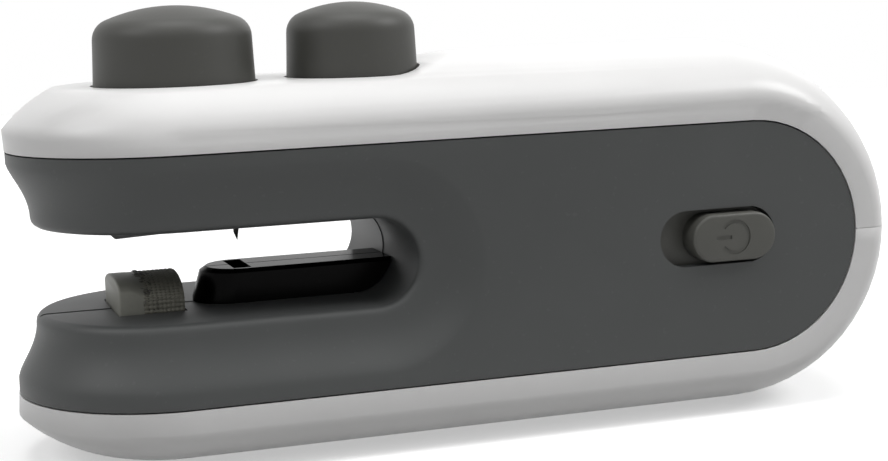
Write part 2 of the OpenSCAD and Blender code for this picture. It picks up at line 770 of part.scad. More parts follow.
// Least gap between neighbouring curls, measured on the points
function coil_gap(r, wire, curls, span) =
    let(pts = coil_pts(r, wire, curls, span), n = len(pts))
    min([for (i = [0:n - 1], j = [i + curl_rings - 2:min(i + curl_rings + 2, n - 1)])
        if (j < n) norm(pts[i] - pts[j]) - wire]);
seal_span = deck_h + seal_btn_h - cap_wall - cap_seat - floor_up - 2*seat_gap;
cut_span = deck_h + cut_btn_h - cap_wall - cap_seat - floor_up - 2*seat_gap;
module seal_spring() {
    color([0.75, 0.76, 0.78]) translate([seal_cx, 0, floor_up + seat_gap])
        coil(seal_coil_r, seal_wire, seal_curls, seal_span);
}
module cutter_spring() {
    color([0.75, 0.76, 0.78]) translate([cut_cx, 0, floor_up + seat_gap])
        coil(cut_coil_r, cut_wire, cut_curls, cut_span);
}
echo(seal_spring_gap = coil_gap(seal_coil_r, seal_wire, seal_curls, seal_span));
echo(cutter_spring_gap = coil_gap(cut_coil_r, cut_wire, cut_curls, cut_span));

// Carrier of the blade: flange, drop column and the arm that reaches forward
module cutter_carrier() {
    x1 = cut_cx - cut_coil_r - cut_wire - slide_gap;
    front = blade_px + blade_t/2;
    color([0.24, 0.25, 0.25]) difference() {
        union() {
            translate([cut_cx, 0, flange_z]) flange(cut_btn_d, cut_coil_r + cut_wire);
            translate([x1 - drop_len, -arm_w/2, arm_z])
                cube([drop_len, arm_w, flange_z - arm_z + flange_h/2]);
            translate([front, -arm_w/2, arm_z]) cube([x1 - front, arm_w, arm_h]);
            translate([front, -arm_w/2, arm_top - pad_h]) cube([pad_len, arm_w, pad_h]);
        }
        translate([front - over, 0, screw_z]) rotate([0, 90, 0])
            cylinder(h = screw_len + over, r = screw_r + seat_gap/2, $fn = 32);
    }
}

// Blade with a spear point, held flat against the front of the arm
module blade() {
    color([0.82, 0.83, 0.85]) difference() {
        translate([blade_px - blade_t/2, 0, 0]) rotate([90, 0, 90]) linear_extrude(blade_t)
            polygon([[0, blade_tip_z], [blade_w/2, blade_tip_z + blade_tip_len], [blade_w/2, blade_top_z],
                     [-blade_w/2, blade_top_z], [-blade_w/2, blade_tip_z + blade_tip_len]]);
        translate([blade_px - over, 0, screw_z]) rotate([0, 90, 0])
            cylinder(h = 2*over, r = screw_r + seat_gap, $fn = 32);
    }
}
module blade_screw() {
    color([0.6, 0.61, 0.63]) translate([blade_px - blade_t/2, 0, screw_z]) rotate([0, 90, 0]) {
        translate([0, 0, -head_h]) cylinder(h = head_h, r = head_r, $fn = 48);
        cylinder(h = screw_len, r = screw_r, $fn = 32);
    }
}

// Plan outline of the cutting block, inset all round
module block_plan(inset) {
    w = block_w/2 - inset;
    x0 = nose_x + block_x + inset;
    tip = block_w/2;
    translate([x0 + tip, 0]) intersection() {
        circle(w, $fn = 96);
        translate([-block_w, -block_w]) square([block_w, 2*block_w]);
    }
    translate([x0 + tip, -w]) square([nose_x + throat_depth - x0 - tip, 2*w]);
}

// Black block under the blade, ending against the rear of the throat
module cutting_block() {
    x0 = nose_x + block_x;
    top = jaw_low + block_h;
    color([0.05, 0.05, 0.055]) difference() {
        union() {
            intersection() {
                translate([0, 0, jaw_low]) hull() {
                    linear_extrude(block_edge) block_plan(0);
                    translate([block_draft, 0, block_h - 2*block_edge])
                        linear_extrude(block_edge) block_plan(seat_gap);
                    translate([block_draft, 0, block_h - block_edge])
                        linear_extrude(block_edge) block_plan(block_edge);
                }
                translate([0, block_w, throat_z]) rotate([90, 0, 0]) linear_extrude(2*block_w) {
                    translate([throat_cx - throat_depth, -throat_r]) square([throat_depth, throat_gap]);
                    translate([throat_cx, 0]) circle(throat_r - seat_gap, $fn = 96);
                }
            }
            translate([x0 + tenon_end, -tenon_w/2, jaw_low - tenon_h])
                cube([throat_cx - x0 - tenon_end, tenon_w, tenon_h + block_edge]);
        }
        translate([blade_px - cut_slot_len/2, -cut_slot_w/2, jaw_low - tenon_h/2])
            cube([cut_slot_len, cut_slot_w, block_h + over + tenon_h]);
        translate([x0 - over, -groove_w/2, top - groove_h]) cube([body_len, groove_w, over]);
    }
}

// Arch section of the heater, seen along X, grown by a layer
module arch(grow, low) {
    w = foot_w/2 + grow;
    z1 = heater_top - heater_arch;
    polygon(concat([[-w, low]], [for (i = [0:arch_steps]) let(a = 180 - 180*i/arch_steps)
        [w*cos(a), z1 + (heater_arch + grow)*sin(a)]], [[w, low]]));
}
module along_x(x0, l) { translate([x0, 0, 0]) rotate([90, 0, 90]) linear_extrude(l) children(); }

// Heater block with an arched top and a wider foot under the jaw face
module heater_block() {
    body_l = heater_len - 2*seat_gap;
    side_cut = ribbon_t + tape_t;
    color([0.82, 0.82, 0.78]) {
        along_x(heater_cx - body_l/2, body_l) arch(-side_cut, heater_foot_z);
        translate([heater_cx - body_l/2 - heater_foot_out, -foot_w/2 + side_cut, heater_foot_z])
            cube([body_l + 2*heater_foot_out, foot_w - 2*side_cut, heater_foot_h]);
    }
}

// A layer bent over the arch, reaching down both sides
module arch_layer(inner, t, x0, l, low) {
    along_x(x0, l) difference() {
        arch(inner + t, low);
        arch(inner, low - over);
    }
}
module heater_ribbon() {
    color([0.62, 0.58, 0.52])
        arch_layer(-ribbon_t - tape_t, ribbon_t, ribbon_cx - ribbon_w/2, ribbon_w, heater_foot_z);
}
module release_tape() {
    color([0.66, 0.63, 0.54])
        arch_layer(-tape_t, tape_t, heater_cx + heater_len/2 - tape_w, tape_w, floor_low);
}

// Two clamps that hold the ends of the ribbon
module heater_terminals() {
    color([0.80, 0.66, 0.32]) for (s = [0, 1]) mirror([0, s, 0])
        translate([ribbon_cx - terminal_len/2, layer_y, heater_foot_z])
            cube([terminal_len, terminal_t, terminal_h - seat_gap]);
}

// Cylindrical cell with its raised positive cap
module battery_cell() {
    color([0.20, 0.42, 0.62]) translate([cell_front, 0, cell_z]) rotate([0, 90, 0]) {
        cylinder(h = cell_len - cell_cap_h, r = cell_d/2, $fn = 96);
        translate([0, 0, cell_len - cell_cap_h]) cylinder(h = cell_cap_h, r = cell_cap_r, $fn = 48);
    }
}
module battery_tabs() {
    color([0.74, 0.75, 0.76]) for (x = [cell_front - tab_t, cell_front + cell_len])
        translate([x, -tab_w/2, cell_z - cell_cap_r]) cube([tab_t, tab_w, cell_d/2 + cell_cap_r]);
}

// Board that carries the switch and the charging socket
module circuit_board() {
    color([0.10, 0.36, 0.22]) difference() {
        translate([board_cx - board_len/2, board_low_y, board_z])
            cube([board_len, board_high_y - board_low_y, board_t]);
        for (p = board_screw_places) translate([p[0], p[1], board_z - over])
            cylinder(h = board_t + 2*over, r = screw_r + seat_gap, $fn = 32);
    }
}
module board_screws() {
    color([0.6, 0.61, 0.63]) for (p = board_screw_places) translate([p[0], p[1], board_top]) {
        cylinder(h = head_h, r = board_head_r, $fn = 48);
        translate([0, 0, -board_screw_len]) cylinder(h = board_screw_len, r = screw_r, $fn = 32);
    }
}

// Socket shell with its inner tongue, mouth in the far panel
module charge_socket() {
    translate([socket_cx, socket_y - socket_deep/2, board_top + socket_h/2]) {
        color([0.75, 0.76, 0.78]) difference() {
            stadium(socket_w, socket_h, socket_deep);
            translate([0, 2*socket_t, 0])
                stadium(socket_w - 2*socket_t, socket_h - 2*socket_t, socket_deep);
        }
        color([0.08, 0.08, 0.08])
            translate([-pin_row_share*socket_w/2, -socket_deep/2 + socket_t, -pin_row_t/2])
                cube([pin_row_share*socket_w, socket_deep - 2*socket_t, pin_row_t]);
    }
}

// Slide switch: housing with a slot, and the lever that runs in it
switch_y = -(guard_y - guard_t - pocket_w);
module switch_body() {
    color([0.12, 0.12, 0.13]) translate([slot_cx, switch_y, 0]) difference() {
        translate([-switch_len/2, 0, board_top]) cube([switch_len, switch_deep, switch_h]);
        translate([-(lever_len + knob_travel)/2 - slide_gap, -over, slot_z - lever_h/2 - slide_gap])
            cube([lever_len + knob_travel + 2*slide_gap, over + switch_deep/2, lever_h + 2*slide_gap]);
    }
}
module switch_lever() {
    color([0.85, 0.85, 0.83])
        translate([knob_cx - lever_len/2, -(guard_y - guard_t - seat_gap), slot_z - lever_h/2])
            cube([lever_len, pocket_w + switch_deep/2 - slide_gap, lever_h]);
}

// Stadium with a rounded front edge: two revolved ends and the straight part between them
module soft_stadium(l, h, deep, edge) {
    side = concat([[0, 0]], [[h/2, 0]], [for (i = [0:edge_steps]) let(a = 90*i/edge_steps)
        [h/2 - edge + edge*cos(a), deep - edge + edge*sin(a)]], [[0, deep]]);
    for (s = [-1, 1]) translate([s*(l - h)/2, 0, 0]) rotate_extrude($fn = 96) polygon(side);
    translate([-(l - h)/2, 0, 0]) rotate([90, 0, 90]) linear_extrude(l - h)
        polygon(concat(side, flip(mirror_y(side))));
}

// Power knob: rounded face in the slot, guard plate behind the wall and a pocket for the lever
module power_knob() {
    color([0.38, 0.38, 0.36]) translate([knob_cx, 0, slot_z]) {
        difference() {
            translate([0, -guard_y + guard_t/2, 0]) rotate([90, 0, 0])
                soft_stadium(knob_len, knob_h, knob_face_y - guard_y + guard_t/2, knob_edge);
            power_mark();
        }
        translate([0, -guard_y + guard_t/2, 0])
            stadium(slot_len + knob_travel + 2*guard_over, slot_h + 2*guard_over, guard_t);
        for (s = [0, 1]) mirror([s, 0, 0])
            translate([lever_len/2 + seat_gap, -guard_y + guard_t/2, -lever_h/2])
                cube([lug_t, guard_t/2 + pocket_w/2, lever_h]);
    }
}

// Engraved power symbol: an open ring and a bar, both open towards the nose
module power_mark() {
    translate([0, -knob_face_y + mark_h, 0]) rotate([90, 0, 0]) {
        rotate([0, 0, 180 + mark_open_deg]) rotate_extrude(angle = 360 - 2*mark_open_deg, $fn = 64)
            translate([ring_r - ring_w/2, 0]) square([ring_w, over]);
        translate([-ring_r - bar_out, -ring_w/2, 0]) cube([bar_len, ring_w, over]);
    }
}

// Screws that join the half shells, put in from the far side
module case_screws() {
    color([0.55, 0.56, 0.58]) for (p = case_screw_places)
        translate([p[0], case_head_y, p[1]]) rotate([-90, 0, 0]) {
            cylinder(h = case_head_h, r = case_head_r, $fn = 48);
            translate([0, 0, -case_len]) cylinder(h = case_len, r = case_shank_r, $fn = 32);
        }
}

// Smooth curve through the points of a route
function curve_at(a, b, c, d, t) =
    (2*b + (c - a)*t + (2*a - 5*b + 4*c - d)*t*t + (3*b - a - 3*c + d)*t*t*t)/2;
function curve(p) =
    let(n = len(p))
    concat([for (i = [0:n - 2], k = [0:lead_cuts - 1])
                curve_at(p[max(i - 1, 0)], p[i], p[i + 1], p[min(i + 2, n - 1)], k/lead_cuts)],
           [p[n - 1]]);
module lead(route, upward) { tube(curve(route), lead_d/2, lead_sides, upward); }

// Leads from the board to the two heater terminals
module heater_leads() {
    color([0.72, 0.72, 0.70]) for (s = [0, 1]) mirror([0, s, 0]) lead(heater_route, [0, 0, 1]);
}

// Leads from the two cell tabs to the board
module battery_leads() {
    color([0.10, 0.10, 0.10]) lead(front_route, [0, 1, 0]);
    color([0.75, 0.10, 0.10]) lead(rear_route, [0, 1, 0]);
}

left_shell();
right_shell();
top_cover();
bottom_cover();
seal_button();
seal_plunger();
press_foot();
seal_spring();
cutter_button();
cutter_carrier();
blade();
blade_screw();
cutter_spring();
cutting_block();
heater_block();
heater_ribbon();
release_tape();
heater_terminals();
battery_cell();
battery_tabs();
circuit_board();
charge_socket();
switch_body();
switch_lever();
power_knob();
heater_leads();
battery_leads();
case_screws();
board_screws();
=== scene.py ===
import math
import random

import bmesh
import bpy
from mathutils import Matrix, Vector


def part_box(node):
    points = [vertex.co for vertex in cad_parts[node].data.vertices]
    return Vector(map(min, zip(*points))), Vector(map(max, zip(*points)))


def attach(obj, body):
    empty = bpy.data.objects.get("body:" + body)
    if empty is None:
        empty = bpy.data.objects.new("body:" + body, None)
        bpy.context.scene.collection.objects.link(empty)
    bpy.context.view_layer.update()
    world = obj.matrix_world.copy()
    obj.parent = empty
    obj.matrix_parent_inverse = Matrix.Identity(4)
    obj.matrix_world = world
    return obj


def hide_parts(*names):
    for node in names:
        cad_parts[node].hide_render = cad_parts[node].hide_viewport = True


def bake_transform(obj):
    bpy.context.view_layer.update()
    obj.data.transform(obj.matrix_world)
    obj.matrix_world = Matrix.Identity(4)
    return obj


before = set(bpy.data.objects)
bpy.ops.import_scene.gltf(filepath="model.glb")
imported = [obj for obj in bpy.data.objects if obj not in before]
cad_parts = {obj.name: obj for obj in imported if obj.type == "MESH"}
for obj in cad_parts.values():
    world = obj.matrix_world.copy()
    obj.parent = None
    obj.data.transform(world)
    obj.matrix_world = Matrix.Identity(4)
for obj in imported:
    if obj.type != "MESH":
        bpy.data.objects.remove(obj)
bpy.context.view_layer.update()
mm = 0.001
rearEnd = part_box("top_cover")[1].x / mm  # the rear end, from which the camera and the leads are placed
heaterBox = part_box("heater_block")
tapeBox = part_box("release_tape")
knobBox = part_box("power_knob")


# a socket that can be used in a Python expression
class Wire:
    def __init__(self, board, socket):
        self.board = board
        self.socket = socket

    def maths(self, operation, other, swapped=False):
        first, second = (other, self) if swapped else (self, other)
        return self.board.add("ShaderNodeMath", {"operation": operation}, {0: first, 1: second})

    def __add__(self, other): return self.maths("ADD", other)
    def __radd__(self, other): return self.maths("ADD", other, True)
    def __sub__(self, other): return self.maths("SUBTRACT", other)
    def __rsub__(self, other): return self.maths("SUBTRACT", other, True)
    def __mul__(self, other): return self.maths("MULTIPLY", other)
    def __rmul__(self, other): return self.maths("MULTIPLY", other, True)
    def __truediv__(self, other): return self.maths("DIVIDE", other)
    def __rtruediv__(self, other): return self.maths("DIVIDE", other, True)
    def __lt__(self, other): return self.maths("LESS_THAN", other)
    def __gt__(self, other): return self.maths("GREATER_THAN", other)
    def __mod__(self, other): return self.maths("FLOORED_MODULO", other)
    def size(self): return self.maths("ABSOLUTE", 0)
    def least(self, other): return self.maths("MINIMUM", other)
    def most(self, other): return self.maths("MAXIMUM", other)


# the node tree of a new material, or of the world, with one method that adds any node
class Board:
    def __init__(self, name, tree=None):
        if tree:
            self.tree = tree
            return
        self.material = bpy.data.materials.new(name)
        self.material.use_nodes = True
        self.tree = self.material.node_tree
        self.tree.nodes.clear()
        self.out = self.tree.nodes.new("ShaderNodeOutputMaterial")

    def add(self, kind, settings=None, inputs=None, output=0):
        node = self.tree.nodes.new(kind)
        for key, value in (settings or {}).items():
            if key == "stops":
                self.setStops(node.color_ramp, value)
            else:
                setattr(node, key, value)
        for key, value in (inputs or {}).items():
            self.feed(node.inputs[key], value)
        return Wire(self, node.outputs[output])

    def feed(self, socket, value):
        if isinstance(value, Wire):
            self.tree.links.new(value.socket, socket)
        else:
            socket.default_value = value

    def setStops(self, ramp, stops):
        while len(ramp.elements) < len(stops):
            ramp.elements.new(0.5)
        for element, (place, level) in zip(ramp.elements, stops):
            element.position = place
            element.color = (level, level, level, 1)

    def place(self, scale=(1, 1, 1)):
        here = self.add("ShaderNodeTexCoord", output="Object")
        if scale == (1, 1, 1):
            return here
        return self.add("ShaderNodeMapping", {}, {"Vector": here, "Scale": scale})

    def along(self, axis):
        split = self.add("ShaderNodeSeparateXYZ", {}, {0: self.place()}, axis)
        return split * (1 / mm)

    def attribute(self, name):
        return self.add("ShaderNodeAttribute", {"attribute_name": name}, output="Fac")

    def noise(self, scale, detail=2.0, roughness=0.5, stretch=(1, 1, 1)):
        return self.add("ShaderNodeTexNoise", {}, {"Vector": self.place(stretch), "Scale": scale,
                                                   "Detail": detail, "Roughness": roughness}, "Fac")

    def ramp(self, factor, stops):
        return self.add("ShaderNodeValToRGB", {"stops": stops}, {"Fac": factor})

    def blend(self, factor, first, second):
        return self.add("ShaderNodeMix", {"data_type": "RGBA"}, {0: factor, 6: first, 7: second}, 2)

    def bump(self, height, strength, distance):
        return self.add("ShaderNodeBump", {}, {"Height": height, "Strength": strength, "Distance": distance})

    def skin(self, **inputs):
        shader = self.add("ShaderNodeBsdfPrincipled", {}, inputs)
        self.tree.links.new(shader.socket, self.out.inputs["Surface"])
        return self.material


# a grey, slightly warm where that is asked
def shade(level, warm=0.0):
    return (level * (1 + warm), level, level * (1 - warm), 1)


# camera: place and turn of the photograph's view, the place measured from the rear end along the body
cameraValues = {"place": (-131.029, -217.256, 56.545), "turn": -18.547, "rise": 8.054, "roll": -1.823,
                "lens": 72.32, "sensor": 36.0, "nearest": 0.01}


def makeCamera(v):
    turn, rise, roll = (math.radians(v[k]) for k in ("turn", "rise", "roll"))
    back = Vector((math.sin(turn) * math.cos(rise), -math.cos(turn) * math.cos(rise), math.sin(rise)))
    right = (-back).cross(Vector((0, 0, 1))).normalized()
    up = right.cross(-back)
    side = right * math.cos(roll) + up * math.sin(roll)
    top = up * math.cos(roll) - right * math.sin(roll)
    data = bpy.data.cameras.new("camera")
    data.lens = v["lens"]
    data.sensor_width = v["sensor"]
    data.clip_start = v["nearest"]
    camera = bpy.data.objects.new("camera", data)
    place = Vector(v["place"]) + Vector((rearEnd, 0, 0))
    camera.matrix_world = Matrix.Translation(place * mm) @ Matrix((side, top, back)).transposed().to_4x4()
    bpy.context.collection.objects.link(camera)
    bpy.context.scene.camera = camera


# soft lamps, the pale world, and the floor, which fades to plain white towards its edge
studio = {"worldLevel": 0.025, "floorSize": 0.62, "floorSides": 96, "floorSeen": 0.86, "floorGlow": 0.46,
          "floorBounce": 0.38, "fadeFrom": 0.4, "fadeTo": 0.95,
          "lamps": [("topLamp", (0.0, -0.04, 0.95), 0.8, 5.0),
                    ("frontLamp", (-0.35, -0.90, 0.75), 0.6, 0.9),
                    ("noseLamp", (-0.75, -0.20, 0.75), 0.5, 2.7),
                    ("rearLamp", (0.70, -0.30, 0.70), 0.5, 5.1),
                    ("backLamp", (0.55, 0.90, 0.45), 0.7, 0.8)],
          "aim": (0.0, 0.0, 0.02)}


# seen by the eye, in a reflection or through glass
def seenRay(board):
    camera = board.add("ShaderNodeLightPath", output="Is Camera Ray")
    gloss = board.add("ShaderNodeLightPath", output="Is Glossy Ray")
    through = board.add("ShaderNodeLightPath", output="Is Transmission Ray")
    return camera.most(gloss).most(through)


def makeStudio(v):
    world = bpy.data.worlds.new("paleWorld")
    bpy.context.scene.world = world
    world.use_nodes = True
    sky = Board("sky", world.node_tree)
    level = v["worldLevel"] + seenRay(sky) * (1 - v["worldLevel"])
    back = sky.tree.nodes["Background"]
    back.inputs["Color"].default_value = shade(1)
    sky.tree.links.new(level.socket, back.inputs["Strength"])
    for name, place, size, power in v["lamps"]:
        data = bpy.data.lights.new(name, "AREA")
        data.shape = "DISK"
        data.size = size
        data.energy = power
        lamp = bpy.data.objects.new(name, data)
        lamp.location = place
        lamp.rotation_euler = (Vector(v["aim"]) - Vector(place)).to_track_quat("-Z", "Y").to_euler()
        bpy.context.collection.objects.link(lamp)
    board = Board("paleFloor")
    plain = board.add("ShaderNodeBsdfDiffuse", {}, {"Color": shade(v["floorBounce"])})
    matt = board.add("ShaderNodeBsdfDiffuse", {}, {"Color": shade(v["floorSeen"])})
    reach = board.add("ShaderNodeVectorMath", {"operation": "LENGTH"}, {0: board.place()}, "Value")
    edge = board.ramp(reach / v["floorSize"], [(v["fadeFrom"], 0), (v["fadeTo"], 1)])
    strength = v["floorGlow"] + edge * (1 - v["floorGlow"])
    glow = board.add("ShaderNodeEmission", {}, {"Color": shade(1), "Strength": strength})
    seen = board.add("ShaderNodeAddShader", {}, {0: matt, 1: glow})
    mixed = board.add("ShaderNodeMixShader", {}, {0: seenRay(board), 1: plain, 2: seen})
    board.tree.links.new(mixed.socket, board.out.inputs["Surface"])
    bm = bmesh.new()
    bmesh.ops.create_circle(bm, cap_ends=True, segments=v["floorSides"], radius=v["floorSize"])
    mesh = bpy.data.meshes.new("floor")
    bm.to_mesh(mesh)
    bm.free()
    floor = bpy.data.objects.new("floor", mesh)
    mesh.materials.append(board.material)
    bpy.context.collection.objects.link(floor)


# moulded plastic: colour with faint clouds, spark-eroded grain, uneven gloss
moulding = {"cloudScale": 60, "cloudGloss": 0.10, "grainScale": 5200, "grainGloss": 0.06, "grain": 0.12,
            "grainDepth": 0.00003, "speckScale": 1400, "speck": 0.05, "speckColour": shade(0.5), "bend": 1.46,
            "shine": 0.5}


def plasticFinish(name, own):
    v = {**moulding, **own}
    board = Board(name)
    clouds = board.noise(v["cloudScale"], 3.0)
    colour = board.blend(board.ramp(clouds, [(0.35, 0), (0.65, 1)]), v["dark"], v["light"])
    grain = board.noise(v["grainScale"], 2.0, 0.6)
    specks = board.ramp(board.noise(v["speckScale"], 1.0), [(0.70, 0), (0.76, 1)])
    colour = board.blend(specks * v["speck"], colour, v["speckColour"])
    rough = v["rough"] + (clouds - 0.5) * v["cloudGloss"] + (grain - 0.5) * v["grainGloss"]
    return board.skin(**{"Base Color": colour, "Roughness": rough, "IOR": v["bend"], "Specular IOR Level": v["shine"],
                         "Normal": board.bump(grain, v["grain"], v["grainDepth"])})


plastics = {
    "shellGrey": {"dark": (0.054, 0.057, 0.0565, 1), "light": (0.060, 0.063, 0.0625, 1), "rough": 0.5, "shine": 0.5,
                  "speck": 0.02},
    "coverWhite": {"dark": shade(0.80, 0.006), "light": shade(0.83, 0.006), "rough": 0.34, "grain": 0.05,
                   "speck": 0.03},
    "buttonGrey": {"dark": (0.035, 0.035, 0.030, 1), "light": (0.040, 0.040, 0.035, 1), "rough": 0.5, "shine": 0.55,
                   "speck": 0.012},
    "innerGrey": {"dark": shade(0.07), "light": shade(0.08), "rough": 0.5},
    "footGrey": {"dark": shade(0.075), "light": shade(0.085), "rough": 0.55},
    "knobGrey": {"dark": (0.076, 0.076, 0.067, 1), "light": (0.084, 0.084, 0.075, 1), "rough": 0.44, "shine": 0.45,
                 "speck": 0.015},
    "knobMark": {"dark": (0.030, 0.030, 0.027, 1), "light": (0.034, 0.034, 0.031, 1), "rough": 0.6, "shine": 0.3,
                 "speck": 0.01},
    # guard plate and lugs behind the knob's slot: black plastic, made darker still as painted shade for the deep slot
    "guardBlackAndShade": {"dark": shade(0.006), "light": shade(0.009), "rough": 0.5, "bend": 1.12, "speck": 0.004},
    "blockBlack": {"dark": shade(0.0012), "light": shade(0.002), "rough": 0.24, "grain": 0.02, "bend": 1.13,
                   "speck": 0.004},
    "switchBlack": {"dark": shade(0.02), "light": shade(0.03), "rough": 0.4},
    "leverWhite": {"dark": shade(0.62, 0.01), "light": shade(0.68, 0.01), "rough": 0.4},
}


# bare metal with fine marks along one direction
metalwork = {"markScale": 900, "markGloss": 0.2, "markDepth": 0.00002, "stainScale": 160, "stainGloss": 0.1,
             "stretch": (1, 1, 12)}


def metalFinish(name, own):
    v = {**metalwork, **own}
    board = Board(name)
    marks = board.noise(v["markScale"], 3.0, 0.6, v["stretch"])
    stains = board.noise(v["stainScale"], 3.0)
    colour = board.blend(stains, v["dark"], v["light"])
    rough = v["rough"] + (marks - 0.5) * v["markGloss"] + (stains - 0.5) * v["stainGloss"]
    return board.skin(**{"Base Color": colour, "Metallic": 1.0, "Roughness": rough,
                         "Normal": board.bump(marks, 0.08, v["markDepth"])})


metals = {
    # the blade's steel is made nearly black: painted shade for the shadow that the blade lies in
    "bladeSteelPaintedShade": {"dark": shade(0.05), "light": shade(0.09), "rough": 0.34, "stretch": (1, 6, 1)},
    "screwSteel": {"dark": shade(0.42, 0.01), "light": shade(0.55, 0.01), "rough": 0.34, "stretch": (1, 1, 1)},
    "springWire": {"dark": shade(0.50), "light": shade(0.62), "rough": 0.26, "stretch": (1, 1, 1)},
    "ribbonMetal": {"dark": (0.34, 0.29, 0.24, 1), "light": (0.46, 0.42, 0.37, 1), "rough": 0.38,
                    "stretch": (1, 10, 1)},
    "terminalBrass": {"dark": (0.55, 0.38, 0.14, 1), "light": (0.68, 0.50, 0.22, 1), "rough": 0.32},
    "tabNickel": {"dark": shade(0.48, 0.02), "light": shade(0.60, 0.02), "rough": 0.36},
    "socketMetal": {"dark": shade(0.50), "light": shade(0.64), "rough": 0.28, "stretch": (10, 1, 1)},
}


# how near a surface is to a place along the body, from 0 at the reach to 1 at the place
def nearness(board, place, reach):
    return 1 - ((board.along(0) - place).size() / reach).least(1.0)


# bare end of the heater: fine, slightly waxy body with soft stains, scorched beside the tape
heaterLook = {"dark": (0.29, 0.29, 0.255, 1), "light": (0.37, 0.37, 0.325, 1), "scorch": shade(0.04, 0.1),
              "stainScale": 240, "fineScale": 2600, "depth": 0.00004, "rough": 0.5, "scorchScale": 520,
              "scorchAt": tapeBox[0].x / mm, "scorchReach": 1.2, "scorchShare": 0.7}


def heaterFinish(name, v):
    board = Board(name)
    stains = board.noise(v["stainScale"], 4.0, 0.6)
    fine = board.noise(v["fineScale"], 2.0)
    colour = board.blend(board.ramp(stains, [(0.3, 0), (0.7, 1)]), v["dark"], v["light"])
    scorch = board.ramp(board.noise(v["scorchScale"], 3.0, 0.7), [(0.58, 0), (0.72, 1)])
    near = nearness(board, v["scorchAt"], v["scorchReach"])
    colour = board.blend(scorch * near * v["scorchShare"], colour, v["scorch"])
    return board.skin(**{"Base Color": colour, "Roughness": v["rough"] + (stains - 0.5) * 0.2, "IOR": 1.45,
                         "Normal": board.bump(fine + stains * 2, 0.2, v["depth"])})


# glass cloth: pale crowns, painted shade in the pits between the threads (stronger near the frayed edge), scorch
# marks near the frayed edge
clothLook = {"dark": (0.20, 0.195, 0.16, 1), "light": (0.28, 0.275, 0.23, 1), "pit": shade(0.012, 0.05),
             "scorch": shade(0.02, 0.1), "stainScale": 260, "fibreScale": 5200, "depth": 0.00003, "rough": 0.62,
             "pitShadeAt": tapeBox[0].x / mm + 1.0, "pitShadeReach": 1.6, "pitShadeFar": 0.35,
             "scorchScale": 900, "scorchAt": tapeBox[0].x / mm + 0.5, "scorchReach": 1.5, "scorchShare": 0.9}


def clothFinish(name, v):
    board = Board(name)
    stains = board.noise(v["stainScale"], 4.0, 0.6)
    fibres = board.noise(v["fibreScale"], 2.0, 0.5)
    colour = board.blend(stains, v["dark"], v["light"])
    # painted shade: the pits between the threads, found by the crown height, are darkened towards the pit colour,
    # more so near the frayed front edge
    pitShadeNear = board.ramp(nearness(board, v["pitShadeAt"], v["pitShadeReach"]), [(0.1, 0), (0.7, 1)])
    pitShade = board.ramp(board.attribute("crown"), [(0.05, 1), (0.55, 0)]) * (v["pitShadeFar"] + pitShadeNear)
    colour = board.blend(pitShade.least(1.0), colour, v["pit"])
    burn = board.ramp(board.noise(v["scorchScale"], 3.0, 0.75), [(0.50, 0), (0.60, 1)])
    burnNear = board.ramp(nearness(board, v["scorchAt"], v["scorchReach"]), [(0.1, 0), (0.6, 1)])
    colour = board.blend(burn * burnNear * v["scorchShare"], colour, v["scorch"])
    return board.skin(**{"Base Color": colour, "Roughness": v["rough"] + (fibres - 0.5) * 0.2, "IOR": 1.5,
                         "Normal": board.bump(fibres, 0.25, v["depth"])})


# rubbery insulation of a lead
def leadFinish(name, v):
    board = Board(name)
    clouds = board.noise(300, 2.0)
    colour = board.blend(clouds, v["dark"], v["light"])
    return board.skin(**{"Base Color": colour, "Roughness": 0.42 + (clouds - 0.5) * 0.12, "IOR": 1.5,
                         "Normal": board.bump(board.noise(2400), 0.08, 0.00003)})


leads = {
    "leadGrey": {"dark": shade(0.34), "light": shade(0.40)},
    "leadBlack": {"dark": shade(0.018), "light": shade(0.028)},
    "leadRed": {"dark": (0.36, 0.02, 0.02, 1), "light": (0.44, 0.03, 0.03, 1)},
    "strandDark": {"dark": shade(0.03, 0.05), "light": shade(0.07, 0.05)},
}


# shrink sleeve of the cell, with a dark band near one end and the bare metal at the other
cellLook = {"dark": (0.03, 0.12, 0.22, 1), "light": (0.04, 0.15, 0.27, 1), "bareEnd": 1.3, "bare": shade(0.55),
            "bandAt": 1.2, "band": 0.6, "bandColour": shade(0.03)}


def cellFinish(name, v):
    low, high = (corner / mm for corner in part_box("battery_cell"))
    board = Board(name)
    clouds = board.noise(140, 2.0)
    along = board.along(0)
    bare = along > high.x - v["bareEnd"]
    band = (along - (low.x + v["bandAt"])).size() < v["band"]
    colour = board.blend(clouds, v["dark"], v["light"])
    colour = board.blend(band, colour, v["bandColour"])
    colour = board.blend(bare, colour, v["bare"])
    return board.skin(**{"Base Color": colour, "Metallic": bare * 0.9, "Roughness": 0.28 + clouds * 0.1, "IOR": 1.5,
                         "Normal": board.bump(board.noise(700), 0.1, 0.00005)})


# solder mask of the circuit board, with tracks that wander a little
boardLook = {"dark": (0.012, 0.09, 0.05, 1), "light": (0.018, 0.12, 0.07, 1), "trackColour": (0.03, 0.20, 0.10, 1),
             "wander": 1.6, "trackStep": 1.9, "track": 0.35}


def boardFinish(name, v):
    board = Board(name)
    clouds = board.noise(200, 2.0)
    x = board.along(0) + (board.noise(90, 0.0) - 0.5) * v["wander"]
    y = board.along(1) + (board.noise(70, 0.0) - 0.5) * v["wander"]
    tracks = ((x % v["trackStep"]) < v["track"]).most((y % v["trackStep"]) < v["track"])
    colour = board.blend(clouds, v["dark"], v["light"])
    colour = board.blend(tracks * 0.6, colour, v["trackColour"])
    return board.skin(**{"Base Color": colour, "Roughness": 0.32 + clouds * 0.1, "IOR": 1.5, "Coat Weight": 0.2,
                         "Normal": board.bump(tracks + clouds * 0.2, 0.3, 0.00004)})


